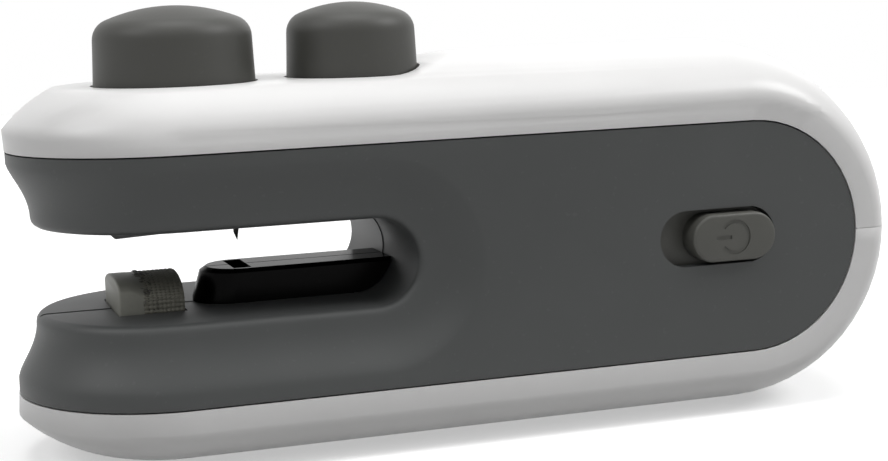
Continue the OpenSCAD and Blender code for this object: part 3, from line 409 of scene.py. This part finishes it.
finish = {name: plasticFinish(name, values) for name, values in plastics.items()}
finish.update({name: metalFinish(name, values) for name, values in metals.items()})
finish.update({name: leadFinish(name, values) for name, values in leads.items()})
finish["heaterBody"] = heaterFinish("heaterBody", heaterLook)
finish["tapeCloth"] = clothFinish("tapeCloth", clothLook)
finish["cellSleeve"] = cellFinish("cellSleeve", cellLook)
finish["boardGreen"] = boardFinish("boardGreen", boardLook)


# makes the piece, gives it smooth faces up to an angle, and puts it on its body, or, for a piece between two bodies,
# only bakes its place into its mesh
def addPiece(name, bm, finishes, body=None, nodes=(), angle=35, between=None):
    mesh = bpy.data.meshes.new(name)
    bm.to_mesh(mesh)
    bm.free()
    if "custom_normal" in mesh.attributes:
        mesh.attributes.remove(mesh.attributes["custom_normal"])
    mesh.materials.clear()
    for each in finishes:
        mesh.materials.append(finish[each])
    mesh.polygons.foreach_set("use_smooth", [True] * len(mesh.polygons))
    mesh.set_sharp_from_angle(angle=math.radians(angle))
    piece = bpy.data.objects.new(name, mesh)
    bpy.context.collection.objects.link(piece)
    if between:
        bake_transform(piece)
    else:
        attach(piece, body)
    if nodes:
        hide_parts(*nodes)


# the mesh of a node with its loose triangles merged, for one finish
def copyNode(node, mergeGap=0.002):
    bm = bmesh.new()
    bm.from_mesh(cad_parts[node].data)
    bmesh.ops.remove_doubles(bm, verts=bm.verts, dist=mergeGap * mm)
    for face in bm.faces:
        face.material_index = 0
    return bm


# cuts the whole mesh at a level above the ground, and clears what is below if asked
def cutLevel(bm, level, clearBelow=False):
    bmesh.ops.bisect_plane(bm, geom=bm.verts[:] + bm.edges[:] + bm.faces[:], plane_co=(0, 0, level * mm),
                           plane_no=(0, 0, 1), clear_inner=clearBelow)


# whether an edge or a face lies wholly at one level along an axis
def liesAt(item, axis, level):
    return all(abs(vert.co[axis] - level * mm) < 0.0001 * mm for vert in item.verts)


# node: name of its copy, body, finish, slot, and the angle up to which it is smooth
copies = {
    "left_shell": ("shell_near", "housing", "shellGrey", "shell_grey", 32),
    "right_shell": ("shell_far", "housing", "shellGrey", "shell_grey", 32),
    "top_cover": ("cover_upper", "housing", "coverWhite", "cover_white", 50),
    "bottom_cover": ("cover_lower", "housing", "coverWhite", "cover_white", 50),
    "seal_button": ("cap_seal", "seal_press", "buttonGrey", "button_grey", 30),
    "cutter_button": ("cap_cutter", "cutter", "buttonGrey", "button_grey", 30),
    "seal_plunger": ("plunger_body", "seal_press", "innerGrey", "inner_grey", 30),
    "cutter_carrier": ("carrier_body", "cutter", "innerGrey", "inner_grey", 30),
    "cutting_block": ("block_cutting", "housing", "blockBlack", "block_black", 30),
}


# the band above the seam of the upper cover, pulled in towards the crown as a soft shoulder
shoulderValues = {"seam": 37.71, "belt": 40.21, "crown": 7.1, "halfWidth": 18.3, "cuts": (0.6, 1.2, 1.8),
                  "inset": 0.95, "rise": 4.4, "bandFrom": 0.05, "fadeFrom": 4.8, "fadeTo": 8.6, "wall": 0.6,
                  "sideFrom": 0.4, "noseCentre": -38.3, "rearFrom": 18.0, "rearTo": 34.0}


def softStep(t):
    t = min(1.0, max(0.0, t))
    return t * t * (3 - 2 * t)


def roundShoulder(bm, v):
    for cut in v["cuts"]:
        cutLevel(bm, v["seam"] + cut)
    for vert in bm.verts:
        x, y, z = vert.co / mm
        height = z - v["seam"]
        if height < v["bandFrom"] or height > v["fadeTo"]:
            continue
        out = Vector((min(0.0, x - v["noseCentre"]), y, 0))
        up = max(0.0, z - v["belt"]) / v["crown"]
        wide = v["halfWidth"] * math.sqrt(max(0.0, 1 - up * up))
        if out.length < wide - v["wall"]:  # the inside of the cover
            continue
        inset = v["inset"] * softStep(height / v["rise"])
        inset *= 1 - softStep((height - v["fadeFrom"]) / (v["fadeTo"] - v["fadeFrom"]))
        inset *= 1 - softStep((x - v["rearFrom"]) / (v["rearTo"] - v["rearFrom"]))
        inset *= softStep((abs(out.y) / out.length - v["sideFrom"]) / (1 - v["sideFrom"]))
        vert.co -= out.normalized() * inset * mm


# joint lines, sunk a little so that they show. Nearer the nose than "behind", a line is sunk only where its faces
# look up by the share "upright", and 2 is more than any face does.
jointLines = {"left_shell": {"axis": 1, "depth": 0.12, "upright": 0.7, "behind": -45},
              "bottom_cover": {"axis": 2, "depth": 0.14, "upright": 2, "behind": 45, "below": 0.16}}


def sinkJoint(bm, level, v, reach=0.006, across=0.7):
    bm.normal_update()
    axis = v["axis"]
    moves = []
    for vert in bm.verts:
        if abs(vert.co[axis] - level) > reach * mm:
            continue
        seen = Vector((0, 0, 0))
        for face in vert.link_faces:
            if abs(face.normal[axis]) < across:
                seen += face.normal
        if seen.length > 0 and (vert.co.x > v["behind"] * mm or seen.z > v["upright"] * seen.length):
            moves.append((vert, seen.normalized() * v["depth"] * mm))
    for vert, move in moves:
        vert.co -= move


# the rear end of the knob's slot, a little nearer to the knob
slotValues = {"move": 0.45, "fromX": 33.6, "reach": 3.7, "outside": -15}


def closeSlot(bm, v):
    low, high = (corner / mm for corner in knobBox)
    middle = (low.z + high.z) / 2
    for vert in bm.verts:
        x, y, z = vert.co / mm
        if y < v["outside"] and x > v["fromX"] and math.hypot(x - v["fromX"], z - middle) < v["reach"]:
            vert.co.x -= v["move"] * mm


def makeCopies():
    for node, (name, body, finishName, slotName, angle) in copies.items():
        bm = copyNode(node)
        if node == "top_cover":
            roundShoulder(bm, shoulderValues)
        if node == "left_shell":
            sinkJoint(bm, 0, jointLines[node])
            closeSlot(bm, slotValues)
        if node == "bottom_cover":
            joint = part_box("top_cover")[0].z
            cutLevel(bm, joint / mm - jointLines[node]["below"])
            sinkJoint(bm, joint, jointLines[node])
        addPiece(name, bm, [finishName], body, [node], angle)


# draws a region out by a move, and gives its new corners and faces
def drawOut(bm, faces, move):
    edges = list({edge for face in faces for edge in face.edges})
    made = bmesh.ops.extrude_face_region(bm, geom=list(faces) + edges)["geom"]
    corners = [item for item in made if isinstance(item, bmesh.types.BMVert)]
    for vert in corners:
        vert.co += Vector(move) * mm
    return corners, [item for item in made if isinstance(item, bmesh.types.BMFace)]


# press foot: its pad rises slightly towards the rear
footValues = {"rise": 0.36, "sole": 0.05, "rim": 0.12, "rimReach": 0.1, "sharp": 0.5}


def makeFoot(v):
    low, high = (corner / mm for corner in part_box("press_foot"))
    bm = copyNode("press_foot")
    for vert in bm.verts:
        if vert.co.z / mm < low.z + v["sole"]:
            vert.co.z += v["rise"] * mm * (vert.co.x / mm - low.x) / (high.x - low.x)
    edges = [edge for edge in bm.edges if edge.is_manifold and edge.calc_face_angle() > v["sharp"]
             and max(vert.co.z for vert in edge.verts) / mm < low.z + v["rise"] + v["rimReach"]]
    bmesh.ops.bevel(bm, geom=edges, offset=v["rim"] * mm, offset_type="OFFSET", segments=2, profile=0.5,
                    affect="EDGES", material=-1, clamp_overlap=True)
    addPiece("foot_pad", bm, ["footGrey"], "seal_press", ["press_foot"], 30)


# heater: high walls at the bare end, the round arch under the tape, a wide foot below the jaw face
heaterValues = {"half": 6.0, "arch": 2.6, "frontWall": 20.42, "frontArch": 1.42, "frontLead": 0.22, "fullReach": 1.5,
                "underTape": 0.45, "tapeGap": 0.04, "core": 5.65, "coreDrop": 0.5, "edge": 0.28, "sharp": 0.6,
                "footOut": 1.2, "footHeight": 3.4, "wallLift": 0.2, "step": 0.05, "sides": 72}


def makeHeater(v):
    low, high = (corner / mm for corner in heaterBox)
    tapeLow, tapeHigh = (corner / mm for corner in tapeBox)
    front = low.x + v["footOut"] - v["frontLead"]
    rear = high.x - v["footOut"]
    spring = tapeHigh.z - v["tapeGap"] - v["arch"]  # where the arch springs from the walls
    middle = low.z + 1  # a level on the walls, between their feet and their tops
    bm = bmesh.new()
    bmesh.ops.create_circle(bm, cap_ends=True, segments=v["sides"], radius=1.0)
    upright = Matrix(((0, 0, 1, 0), (1, 0, 0, 0), (0, 1, 0, 0), (0, 0, 0, 1)))
    size = Matrix.Diagonal((1, v["half"], v["arch"], 1))
    bm.transform(Matrix.Scale(mm, 4) @ Matrix.Translation((front, 0, spring)) @ size @ upright)
    cutLevel(bm, spring, True)
    base = [edge for edge in bm.edges if liesAt(edge, 2, spring)]
    grown = bmesh.ops.extrude_edge_only(bm, edges=base)["geom"]
    for vert in [item for item in grown if isinstance(item, bmesh.types.BMVert)]:
        vert.co.z = (low.z + v["wallLift"]) * mm
    section = bmesh.ops.dissolve_faces(bm, faces=bm.faces)["region"]

    def addSection(faces, reach, wider=1.0, lift=0.0):
        corners, ends = drawOut(bm, faces, (reach, 0, 0))
        for vert in corners:
            vert.co.y *= wider
            if vert.co.z > middle * mm:
                vert.co.z += lift * mm
        return ends

    bare = tapeLow.x + v["underTape"] - front
    ends = addSection(section, v["fullReach"])
    ends = addSection(ends, bare - v["fullReach"])
    ends = addSection(ends, v["step"], v["core"] / v["half"], -v["coreDrop"])
    addSection(ends, rear - front - bare - v["step"])
    for vert in bm.verts:
        z = vert.co.z / mm
        if z > middle and vert.co.x < (front + v["fullReach"] + 0.01) * mm:
            vert.co.z = (v["frontWall"] + (z - spring) * v["frontArch"] / v["arch"]) * mm
    bmesh.ops.recalc_face_normals(bm, faces=bm.faces)
    rim = [edge for edge in bm.edges if liesAt(edge, 0, front) and len(edge.link_faces) == 2
           and edge.calc_face_angle() > v["sharp"]]
    bmesh.ops.bevel(bm, geom=rim, offset=v["edge"] * mm, offset_type="OFFSET", segments=3, profile=0.5,
                    affect="EDGES", material=-1, clamp_overlap=True)
    sole = bmesh.ops.create_cube(bm, size=1.0)["verts"]
    size = Vector((high.x - low.x, v["core"] * 2, v["footHeight"]))
    centre = Vector(((low.x + high.x) / 2, 0, low.z + v["footHeight"] / 2))
    bmesh.ops.transform(bm, verts=sole, matrix=Matrix.Translation(centre * mm) @ Matrix.Diagonal((*(size * mm), 1)))
    addPiece("heater_core", bm, ["heaterBody"], "housing", ["heater_block"], 40)


# fills a flat outline with holes, its edges always in the same order
def fillFlat(bm, edges, normal):
    bm.edges.index_update()
    border = sorted(edges, key=lambda edge: edge.index)
    filled = bmesh.ops.triangle_fill(bm, use_beauty=True, use_dissolve=False, edges=border, normal=normal)["geom"]
    return [item for item in filled if isinstance(item, bmesh.types.BMFace)]


# blade: spear point ground from the front, so that the point lies on the rear face
bladeValues = {"width": 5.6, "tipLength": 4.2, "ground": 1.1, "hole": 1.0, "holeSides": 32}


def makeBlade(v):
    low, high = (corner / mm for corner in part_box("blade"))
    screwLow, screwHigh = (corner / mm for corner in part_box("blade_screw"))
    bm = bmesh.new()
    half = v["width"] / 2
    shoulder = low.z + v["tipLength"]
    outline = [(0, low.z), (half, shoulder), (half, high.z), (-half, high.z), (-half, shoulder)]
    verts = [bm.verts.new(Vector((low.x, y, z)) * mm) for y, z in outline]
    edges = [bm.edges.new((verts[k], verts[(k + 1) % 5])) for k in range(5)]
    place = Matrix.Translation(Vector((low.x, 0, (screwLow.z + screwHigh.z) / 2)) * mm)
    hole = bmesh.ops.create_circle(bm, cap_ends=False, segments=v["holeSides"], radius=v["hole"] * mm,
                                   matrix=place @ Matrix.Rotation(math.pi / 2, 4, "Y"))["verts"]
    edges += {edge for vert in hole for edge in vert.link_edges}
    drawOut(bm, fillFlat(bm, edges, (-1, 0, 0)), (high.x - low.x, 0, 0))
    for vert in verts[0], verts[1], verts[4]:
        vert.co.z += v["ground"] * mm
    bmesh.ops.recalc_face_normals(bm, faces=bm.faces)
    addPiece("blade_point", bm, ["bladeSteelPaintedShade"], "cutter", ["blade"], 20)


# power knob: stadium with a rounded rim and a sunk power symbol; the guard plate and the lever's lugs are behind it
knobValues = {"length": 11.5, "height": 6.04, "sides": 72, "at": (30.5, 23.23), "rim": 0.42,
              "markAt": (30.42, 23.28), "ring": 1.95, "ringSteps": 48, "line": 0.5, "depth": 0.14, "open": 38,
              "bar": 2.1, "barOut": 0.55, "guard": (21.6, 8.3, 1.0), "guardGap": 0.1, "overlap": 0.1,
              "lug": 1.2, "lugApart": 1.0, "lugDepth": 1.0, "lugHeight": 2.2}


def addStadium(bm, length, height, sides, centre, y, deep):
    made = bmesh.ops.create_circle(bm, cap_ends=True, segments=sides, radius=height / 2 * mm,
                                   matrix=Matrix.Rotation(math.pi / 2, 4, "X"))["verts"]
    stretch = (length - height) / 2
    for vert in made:
        vert.co += Vector((centre[0] + math.copysign(stretch, vert.co.x + 1e-9), y, centre[1])) * mm
    drawOut(bm, made[0].link_faces[:], (0, deep, 0))


# the faces of the symbol in the knob's front plane: a ring and a bar, both open towards the nose
def addSymbol(bm, v, centre):
    start = math.radians(180 + v["open"])
    reach = Vector((math.cos(start), 0, math.sin(start)))
    inner = bm.verts.new((centre + reach * (v["ring"] - v["line"] / 2)) * mm)
    outer = bm.verts.new((centre + reach * (v["ring"] + v["line"] / 2)) * mm)
    line = bm.edges.new((inner, outer))
    bmesh.ops.spin(bm, geom=[inner, outer, line], cent=centre * mm, axis=(0, -1, 0), dvec=(0, 0, 0),
                   angle=math.radians(360 - 2 * v["open"]), steps=v["ringSteps"], use_merge=False,
                   use_duplicate=False)
    faces = {face for edge in bm.edges for face in edge.link_faces if liesAt(face, 1, centre.y)
             and (face.calc_center_median() - centre * mm).length < v["ring"] * 1.2 * mm}
    barFrom = centre.x - v["ring"] - v["barOut"]
    barTo = barFrom + v["bar"]
    corners = [(barFrom, -1), (barTo, -1), (barTo, 1), (barFrom, 1)]
    bar = [bm.verts.new(Vector((x, centre.y, centre.z + side * v["line"] / 2)) * mm) for x, side in corners]
    faces.add(bm.faces.new(bar))
    return faces


def makeKnob(v):
    low, high = (corner / mm for corner in knobBox)
    leverLow, leverHigh = (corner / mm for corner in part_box("switch_lever"))
    lever = (leverLow + leverHigh) / 2
    guardLength, guardHeight, guardThick = v["guard"]
    guardY = leverLow.y - guardThick - v["guardGap"]
    bm = bmesh.new()
    addStadium(bm, v["length"], v["height"], v["sides"], v["at"], low.y, guardY - low.y + v["overlap"])
    bmesh.ops.recalc_face_normals(bm, faces=bm.faces)
    rim = [edge for edge in bm.edges if liesAt(edge, 1, low.y)]
    bmesh.ops.bevel(bm, geom=rim, offset=v["rim"] * mm, offset_type="OFFSET", segments=4, profile=0.5,
                    affect="EDGES", material=-1, clamp_overlap=True)
    plate = [face for face in bm.faces if liesAt(face, 1, low.y)]
    edges = {edge for face in plate for edge in face.edges}
    bmesh.ops.delete(bm, geom=plate, context="FACES_ONLY")
    symbol = addSymbol(bm, v, Vector((v["markAt"][0], low.y, v["markAt"][1])))
    edges |= {edge for face in symbol for edge in face.edges if len(edge.link_faces) == 1}
    fillFlat(bm, edges, (0, -1, 0))
    sunk = drawOut(bm, symbol, (0, v["depth"], 0))[1]
    bmesh.ops.recalc_face_normals(bm, faces=bm.faces)
    for face in sunk:
        face.material_index = 2
    knob = set(bm.faces)
    addStadium(bm, guardLength, guardHeight, v["sides"], ((low.x + high.x) / 2, (low.z + high.z) / 2), guardY,
               guardThick)
    for side in (-1, 1):
        lug = bmesh.ops.create_cube(bm, size=1.0)["verts"]
        size = Vector((v["lug"], v["lugDepth"] + v["overlap"], v["lugHeight"])) * mm
        place = Vector((lever.x + side * (v["lugApart"] + v["lug"] / 2), guardY + guardThick + v["lugDepth"] / 2,
                        lever.z)) * mm
        bmesh.ops.transform(bm, verts=lug, matrix=Matrix.Translation(place) @ Matrix.Diagonal((*size, 1)))
    guard = [face for face in bm.faces if face not in knob]
    for face in guard:
        face.material_index = 1
    bmesh.ops.recalc_face_normals(bm, faces=guard)
    addPiece("knob_slide", bm, ["knobGrey", "guardBlackAndShade", "knobMark"], "power_slide", ["power_knob"], 30)


# woven tape over the arch of the heater, its front edge frayed and scorched
tapeValues = {"threadsAlong": 9, "threadsRound": 38, "steps": 6, "lift": 0.10, "pit": 0.09, "sunk": 0.04,
              "arch": 2.6, "archShare": 0.965, "thick": 0.10, "frayReach": 0.28, "frayThreads": 1.5,
              "threadWidth": 2.1, "weaveLevel": 0.62, "weaveSwing": 0.38, "seed": 11}
# loose burnt strands along the frayed edge: two of three lie over the top, the others anywhere round the arch
strandValues = {"count": 26, "radius": 0.05, "topFrom": 0.42, "topSpan": 0.40, "anyFrom": 0.1, "anySpan": 0.8,
                "behind": 0.5, "start": (-0.2, 0.4), "reach": (0.3, 1.0), "rise": (0.0, 0.16), "drift": (-0.4, 0.4),
                "lift": 0.02, "curl": 2.6, "taper": 0.5}


# place on the outside of the arch at a share of the way round, and the direction outwards
def roundArch(v, share):
    low, high = (corner / mm for corner in tapeBox)
    half = high.y
    side = high.z - v["arch"] - low.z
    quarter = math.pi * math.sqrt((half * half + v["arch"] ** 2) / 2) * v["archShare"]
    way = share * (2 * side + quarter)
    if way < side:
        return Vector((0, -half, low.z + way)), Vector((0, -1, 0))
    if way > side + quarter:
        return Vector((0, half, low.z + 2 * side + quarter - way)), Vector((0, 1, 0))
    turn = math.pi * (1 - (way - side) / quarter)
    place = Vector((0, half * math.cos(turn), high.z - v["arch"] + v["arch"] * math.sin(turn)))
    out = Vector((0, math.cos(turn) / half, math.sin(turn) / v["arch"])).normalized()
    return place, out


# height of a plain weave, from 0 in the pits to 1 on the crowns
def weaveHeight(v, u, w):
    i, j = math.floor(u), math.floor(w)
    over = 1 if (i + j) % 2 == 0 else -1

    def thread(across, along, side):
        bulge = math.sqrt(max(0.0, 1 - (v["threadWidth"] * across) ** 2))
        return bulge * (v["weaveLevel"] + v["weaveSwing"] * math.cos(math.pi * along) * side)

    acrossU, acrossW = u - i - 0.5, w - j - 0.5
    return max(thread(acrossU, acrossW, over), thread(acrossW, acrossU, -over))


def makeTape(v, strands):
    low, high = (corner / mm for corner in tapeBox)
    rng = random.Random(v["seed"])
    along, around = v["threadsAlong"], v["threadsRound"]
    fray = [rng.random() for _ in range(around + 1)]
    bm = bmesh.new()
    crown = bm.verts.layers.float.new("crown")
    bmesh.ops.create_grid(bm, x_segments=along * v["steps"], y_segments=around * v["steps"], size=0.5)
    for vert in bm.verts:
        u, w = (vert.co.x + 0.5) * along, (vert.co.y + 0.5) * around
        place, out = roundArch(v, w / around)
        height = weaveHeight(v, min(u, along - 1e-6), min(w, around - 1e-6))
        vert[crown] = height
        edge = max(0.0, 1 - u / v["frayThreads"])
        thread = min(int(w), around - 1)
        x = low.x + (high.x - low.x) * u / along - edge * v["frayReach"] * (fray[thread] * 2 - 0.6)
        rise = height * (v["lift"] + v["pit"]) - v["pit"] - v["sunk"]
        vert.co = (Vector((x, 0, 0)) + place + out * rise) * mm
    bmesh.ops.recalc_face_normals(bm, faces=bm.faces)
    top = max(bm.faces, key=lambda face: face.calc_center_median().z)
    if top.normal.z < 0:
        bmesh.ops.reverse_faces(bm, faces=bm.faces)
    bmesh.ops.solidify(bm, geom=bm.faces, thickness=v["thick"] * mm)
    addPiece("tape_weave", bm, ["tapeCloth"], "housing", ["release_tape"], 60)
    makeStrands(v, strands, rng)


# an empty curve that is drawn as a round tube
def tubeCurve(name, radius, roundness):
    curve = bpy.data.curves.new(name, "CURVE")
    curve.dimensions = "3D"
    curve.bevel_depth = radius * mm
    curve.bevel_resolution = roundness
    curve.use_fill_caps = True
    return curve


# adds the mesh of a curve to a bmesh
def takeCurve(bm, curve):
    holder = bpy.data.objects.new(curve.name, curve)
    bpy.context.collection.objects.link(holder)
    bpy.context.view_layer.update()
    bm.from_mesh(bpy.data.meshes.new_from_object(holder))
    bpy.data.objects.remove(holder)


def makeStrands(tape, v, rng):
    low = tapeBox[0] / mm
    curve = tubeCurve("strands", v["radius"], 1)
    for k in range(v["count"]):
        share = v["topFrom"] + v["topSpan"] * rng.random() if k % 3 else v["anyFrom"] + v["anySpan"] * rng.random()
        place, out = roundArch(tape, share)
        start = low.x + v["behind"] + rng.uniform(*v["start"])
        reach, rise, drift = rng.uniform(*v["reach"]), rng.uniform(*v["rise"]), rng.uniform(*v["drift"])
        spline = curve.splines.new("BEZIER")
        spline.bezier_points.add(2)
        for n, point in enumerate(spline.bezier_points):
            t = n / 2
            aside = Vector((0, -out.z, out.y)) * drift * t * t
            lift = out * (v["lift"] + rise * math.sin(t * v["curl"]))
            point.co = (Vector((start - reach * t, 0, 0)) + place + aside + lift) * mm
            point.handle_left_type = point.handle_right_type = "AUTO"
            point.radius = 1 - v["taper"] * t
    bm = bmesh.new()
    takeCurve(bm, curve)
    addPiece("tape_strands", bm, ["strandDark"], "housing", [], 60)


# springs under the two caps: helix with closed ends
springs = {"seal_spring": {"wire": 0.7, "radius": 2.85, "curls": 9, "body": "seal_press", "name": "spring_seal"},
           "cutter_spring": {"wire": 0.6, "radius": 2.75, "curls": 9, "body": "cutter", "name": "spring_cutter"}}


def makeSpring(node, v, endGap=0.45, steps=28, sides=12):
    low, high = (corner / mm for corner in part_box(node))
    centre = (low + high) / 2
    lead = v["wire"] + endGap
    free = (high.z - low.z) - v["wire"] - 2 * lead
    bm = bmesh.new()
    place = Matrix.Translation(Vector((centre.x + v["radius"], centre.y, low.z + v["wire"] / 2)) * mm)
    turned = place @ Matrix.Rotation(math.pi / 2, 4, "X")
    made = bmesh.ops.create_circle(bm, cap_ends=False, segments=sides, radius=v["wire"] / 2 * mm, matrix=turned)
    first = list({edge for vert in made["verts"] for edge in vert.link_edges})
    bmesh.ops.contextual_create(bm, geom=first)
    section = made["verts"] + first
    for turns, rise in ((1, lead), (v["curls"] - 2, free), (1, lead)):
        count = turns * steps
        spun = bmesh.ops.spin(bm, geom=section, cent=centre * mm, axis=(0, 0, 1), dvec=(0, 0, rise * mm / count),
                              angle=2 * math.pi * turns, steps=count, use_merge=False, use_duplicate=False)
        section = [item for item in spun["geom_last"] if not isinstance(item, bmesh.types.BMFace)]
    bmesh.ops.contextual_create(bm, geom=[item for item in section if isinstance(item, bmesh.types.BMEdge)])
    bmesh.ops.recalc_face_normals(bm, faces=bm.faces)
    between = {"from": "housing", "to": v["body"], "start": Vector((centre.x, 0, low.z + lead)) * mm,
               "end": Vector((centre.x, 0, high.z - lead)) * mm}
    addPiece(v["name"], bm, ["springWire"], nodes=[node], angle=60, between=between)


# leads inside the housing, their routes measured from the rear end along the body
leadValues = {
    "diameter": 1.4,
    "heater": [(-96.1, 6.95, 14), (-96.1, 7.8, 14), (-95.4, 9.2, 13.4), (-93.4, 10, 11.4), (-90.2, 10.2, 8.6),
               (-86.2, 10.2, 7), (-80.2, 10.2, 6.7), (-68.2, 10.2, 6.7), (-56.2, 10.2, 6.9), (-50.2, 10, 8.6),
               (-46.2, 9.2, 12), (-42.8, 7.8, 15.4), (-39.6, 6.4, 17.4), (-36.8, 5.4, 18.1)],
    "front": [(-62.5, -1, 13), (-63.3, -1, 13.1), (-64.2, -1.1, 14), (-64.4, -1.3, 15.6), (-63.6, -1.6, 17),
              (-61.8, -2, 17.6), (-56.2, -2.6, 17.7), (-46.2, -3, 17.7), (-40.2, -3.2, 17.9), (-36.8, -3.4, 18.1)],
    "rear": [(-18.9, 1, 12), (-18.1, 1, 12.1), (-17.2, 1.1, 13), (-17, 1.3, 14.6), (-17.4, 1.6, 16.4),
             (-18.4, 2, 17.6), (-20.2, 2.4, 18.1), (-21.6, 2.6, 18.1)],
}


def leadMesh(bm, route, radius, slotIndex):
    curve = tubeCurve("route", radius, 3)
    curve.resolution_u = 10
    spline = curve.splines.new("BEZIER")
    spline.bezier_points.add(len(route) - 1)
    for point, place in zip(spline.bezier_points, route):
        point.co = (Vector(place) + Vector((rearEnd, 0, 0))) * mm
        point.handle_left_type = point.handle_right_type = "AUTO"
    before = len(bm.faces)
    takeCurve(bm, curve)
    bm.faces.ensure_lookup_table()
    for face in bm.faces[before:]:
        face.material_index = slotIndex


def makeLeads(v):
    bm = bmesh.new()
    for side in (1, -1):
        leadMesh(bm, [(x, y * side, z) for x, y, z in v["heater"]], v["diameter"] / 2, 0)
    bmesh.ops.recalc_face_normals(bm, faces=bm.faces)
    addPiece("leads_heater", bm, ["leadGrey"], "housing", ["heater_leads"], 50)
    bm = bmesh.new()
    leadMesh(bm, v["front"], v["diameter"] / 2, 0)
    leadMesh(bm, v["rear"], v["diameter"] / 2, 1)
    bmesh.ops.recalc_face_normals(bm, faces=bm.faces)
    addPiece("leads_cell", bm, ["leadBlack", "leadRed"], "housing", ["battery_leads"], 50)


# nodes whose shape is right and that only need their finish
nodeFinish = {
    "blade_screw": "screwSteel", "case_screws": "screwSteel", "board_screws": "screwSteel",
    "heater_ribbon": "ribbonMetal", "heater_terminals": "terminalBrass", "battery_cell": "cellSleeve",
    "battery_tabs": "tabNickel", "circuit_board": "boardGreen", "charge_socket": "socketMetal",
    "switch_body": "switchBlack", "switch_lever": "leverWhite"}


def dressNodes():
    for name, finishName in nodeFinish.items():
        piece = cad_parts[name]
        piece.data.materials.clear()
        piece.data.materials.append(finish[finishName])


makeCamera(cameraValues)
makeStudio(studio)
print("stage: camera and studio")
makeCopies()
makeFoot(footValues)
makeHeater(heaterValues)
makeBlade(bladeValues)
makeKnob(knobValues)
print("stage: moulded pieces")
makeTape(tapeValues, strandValues)
for springNode, springValues in springs.items():
    makeSpring(springNode, springValues)
makeLeads(leadValues)
print("stage: tape, springs and leads")
dressNodes()
bpy.context.scene.view_settings.view_transform = "Standard"
print("stage: nodes dressed")
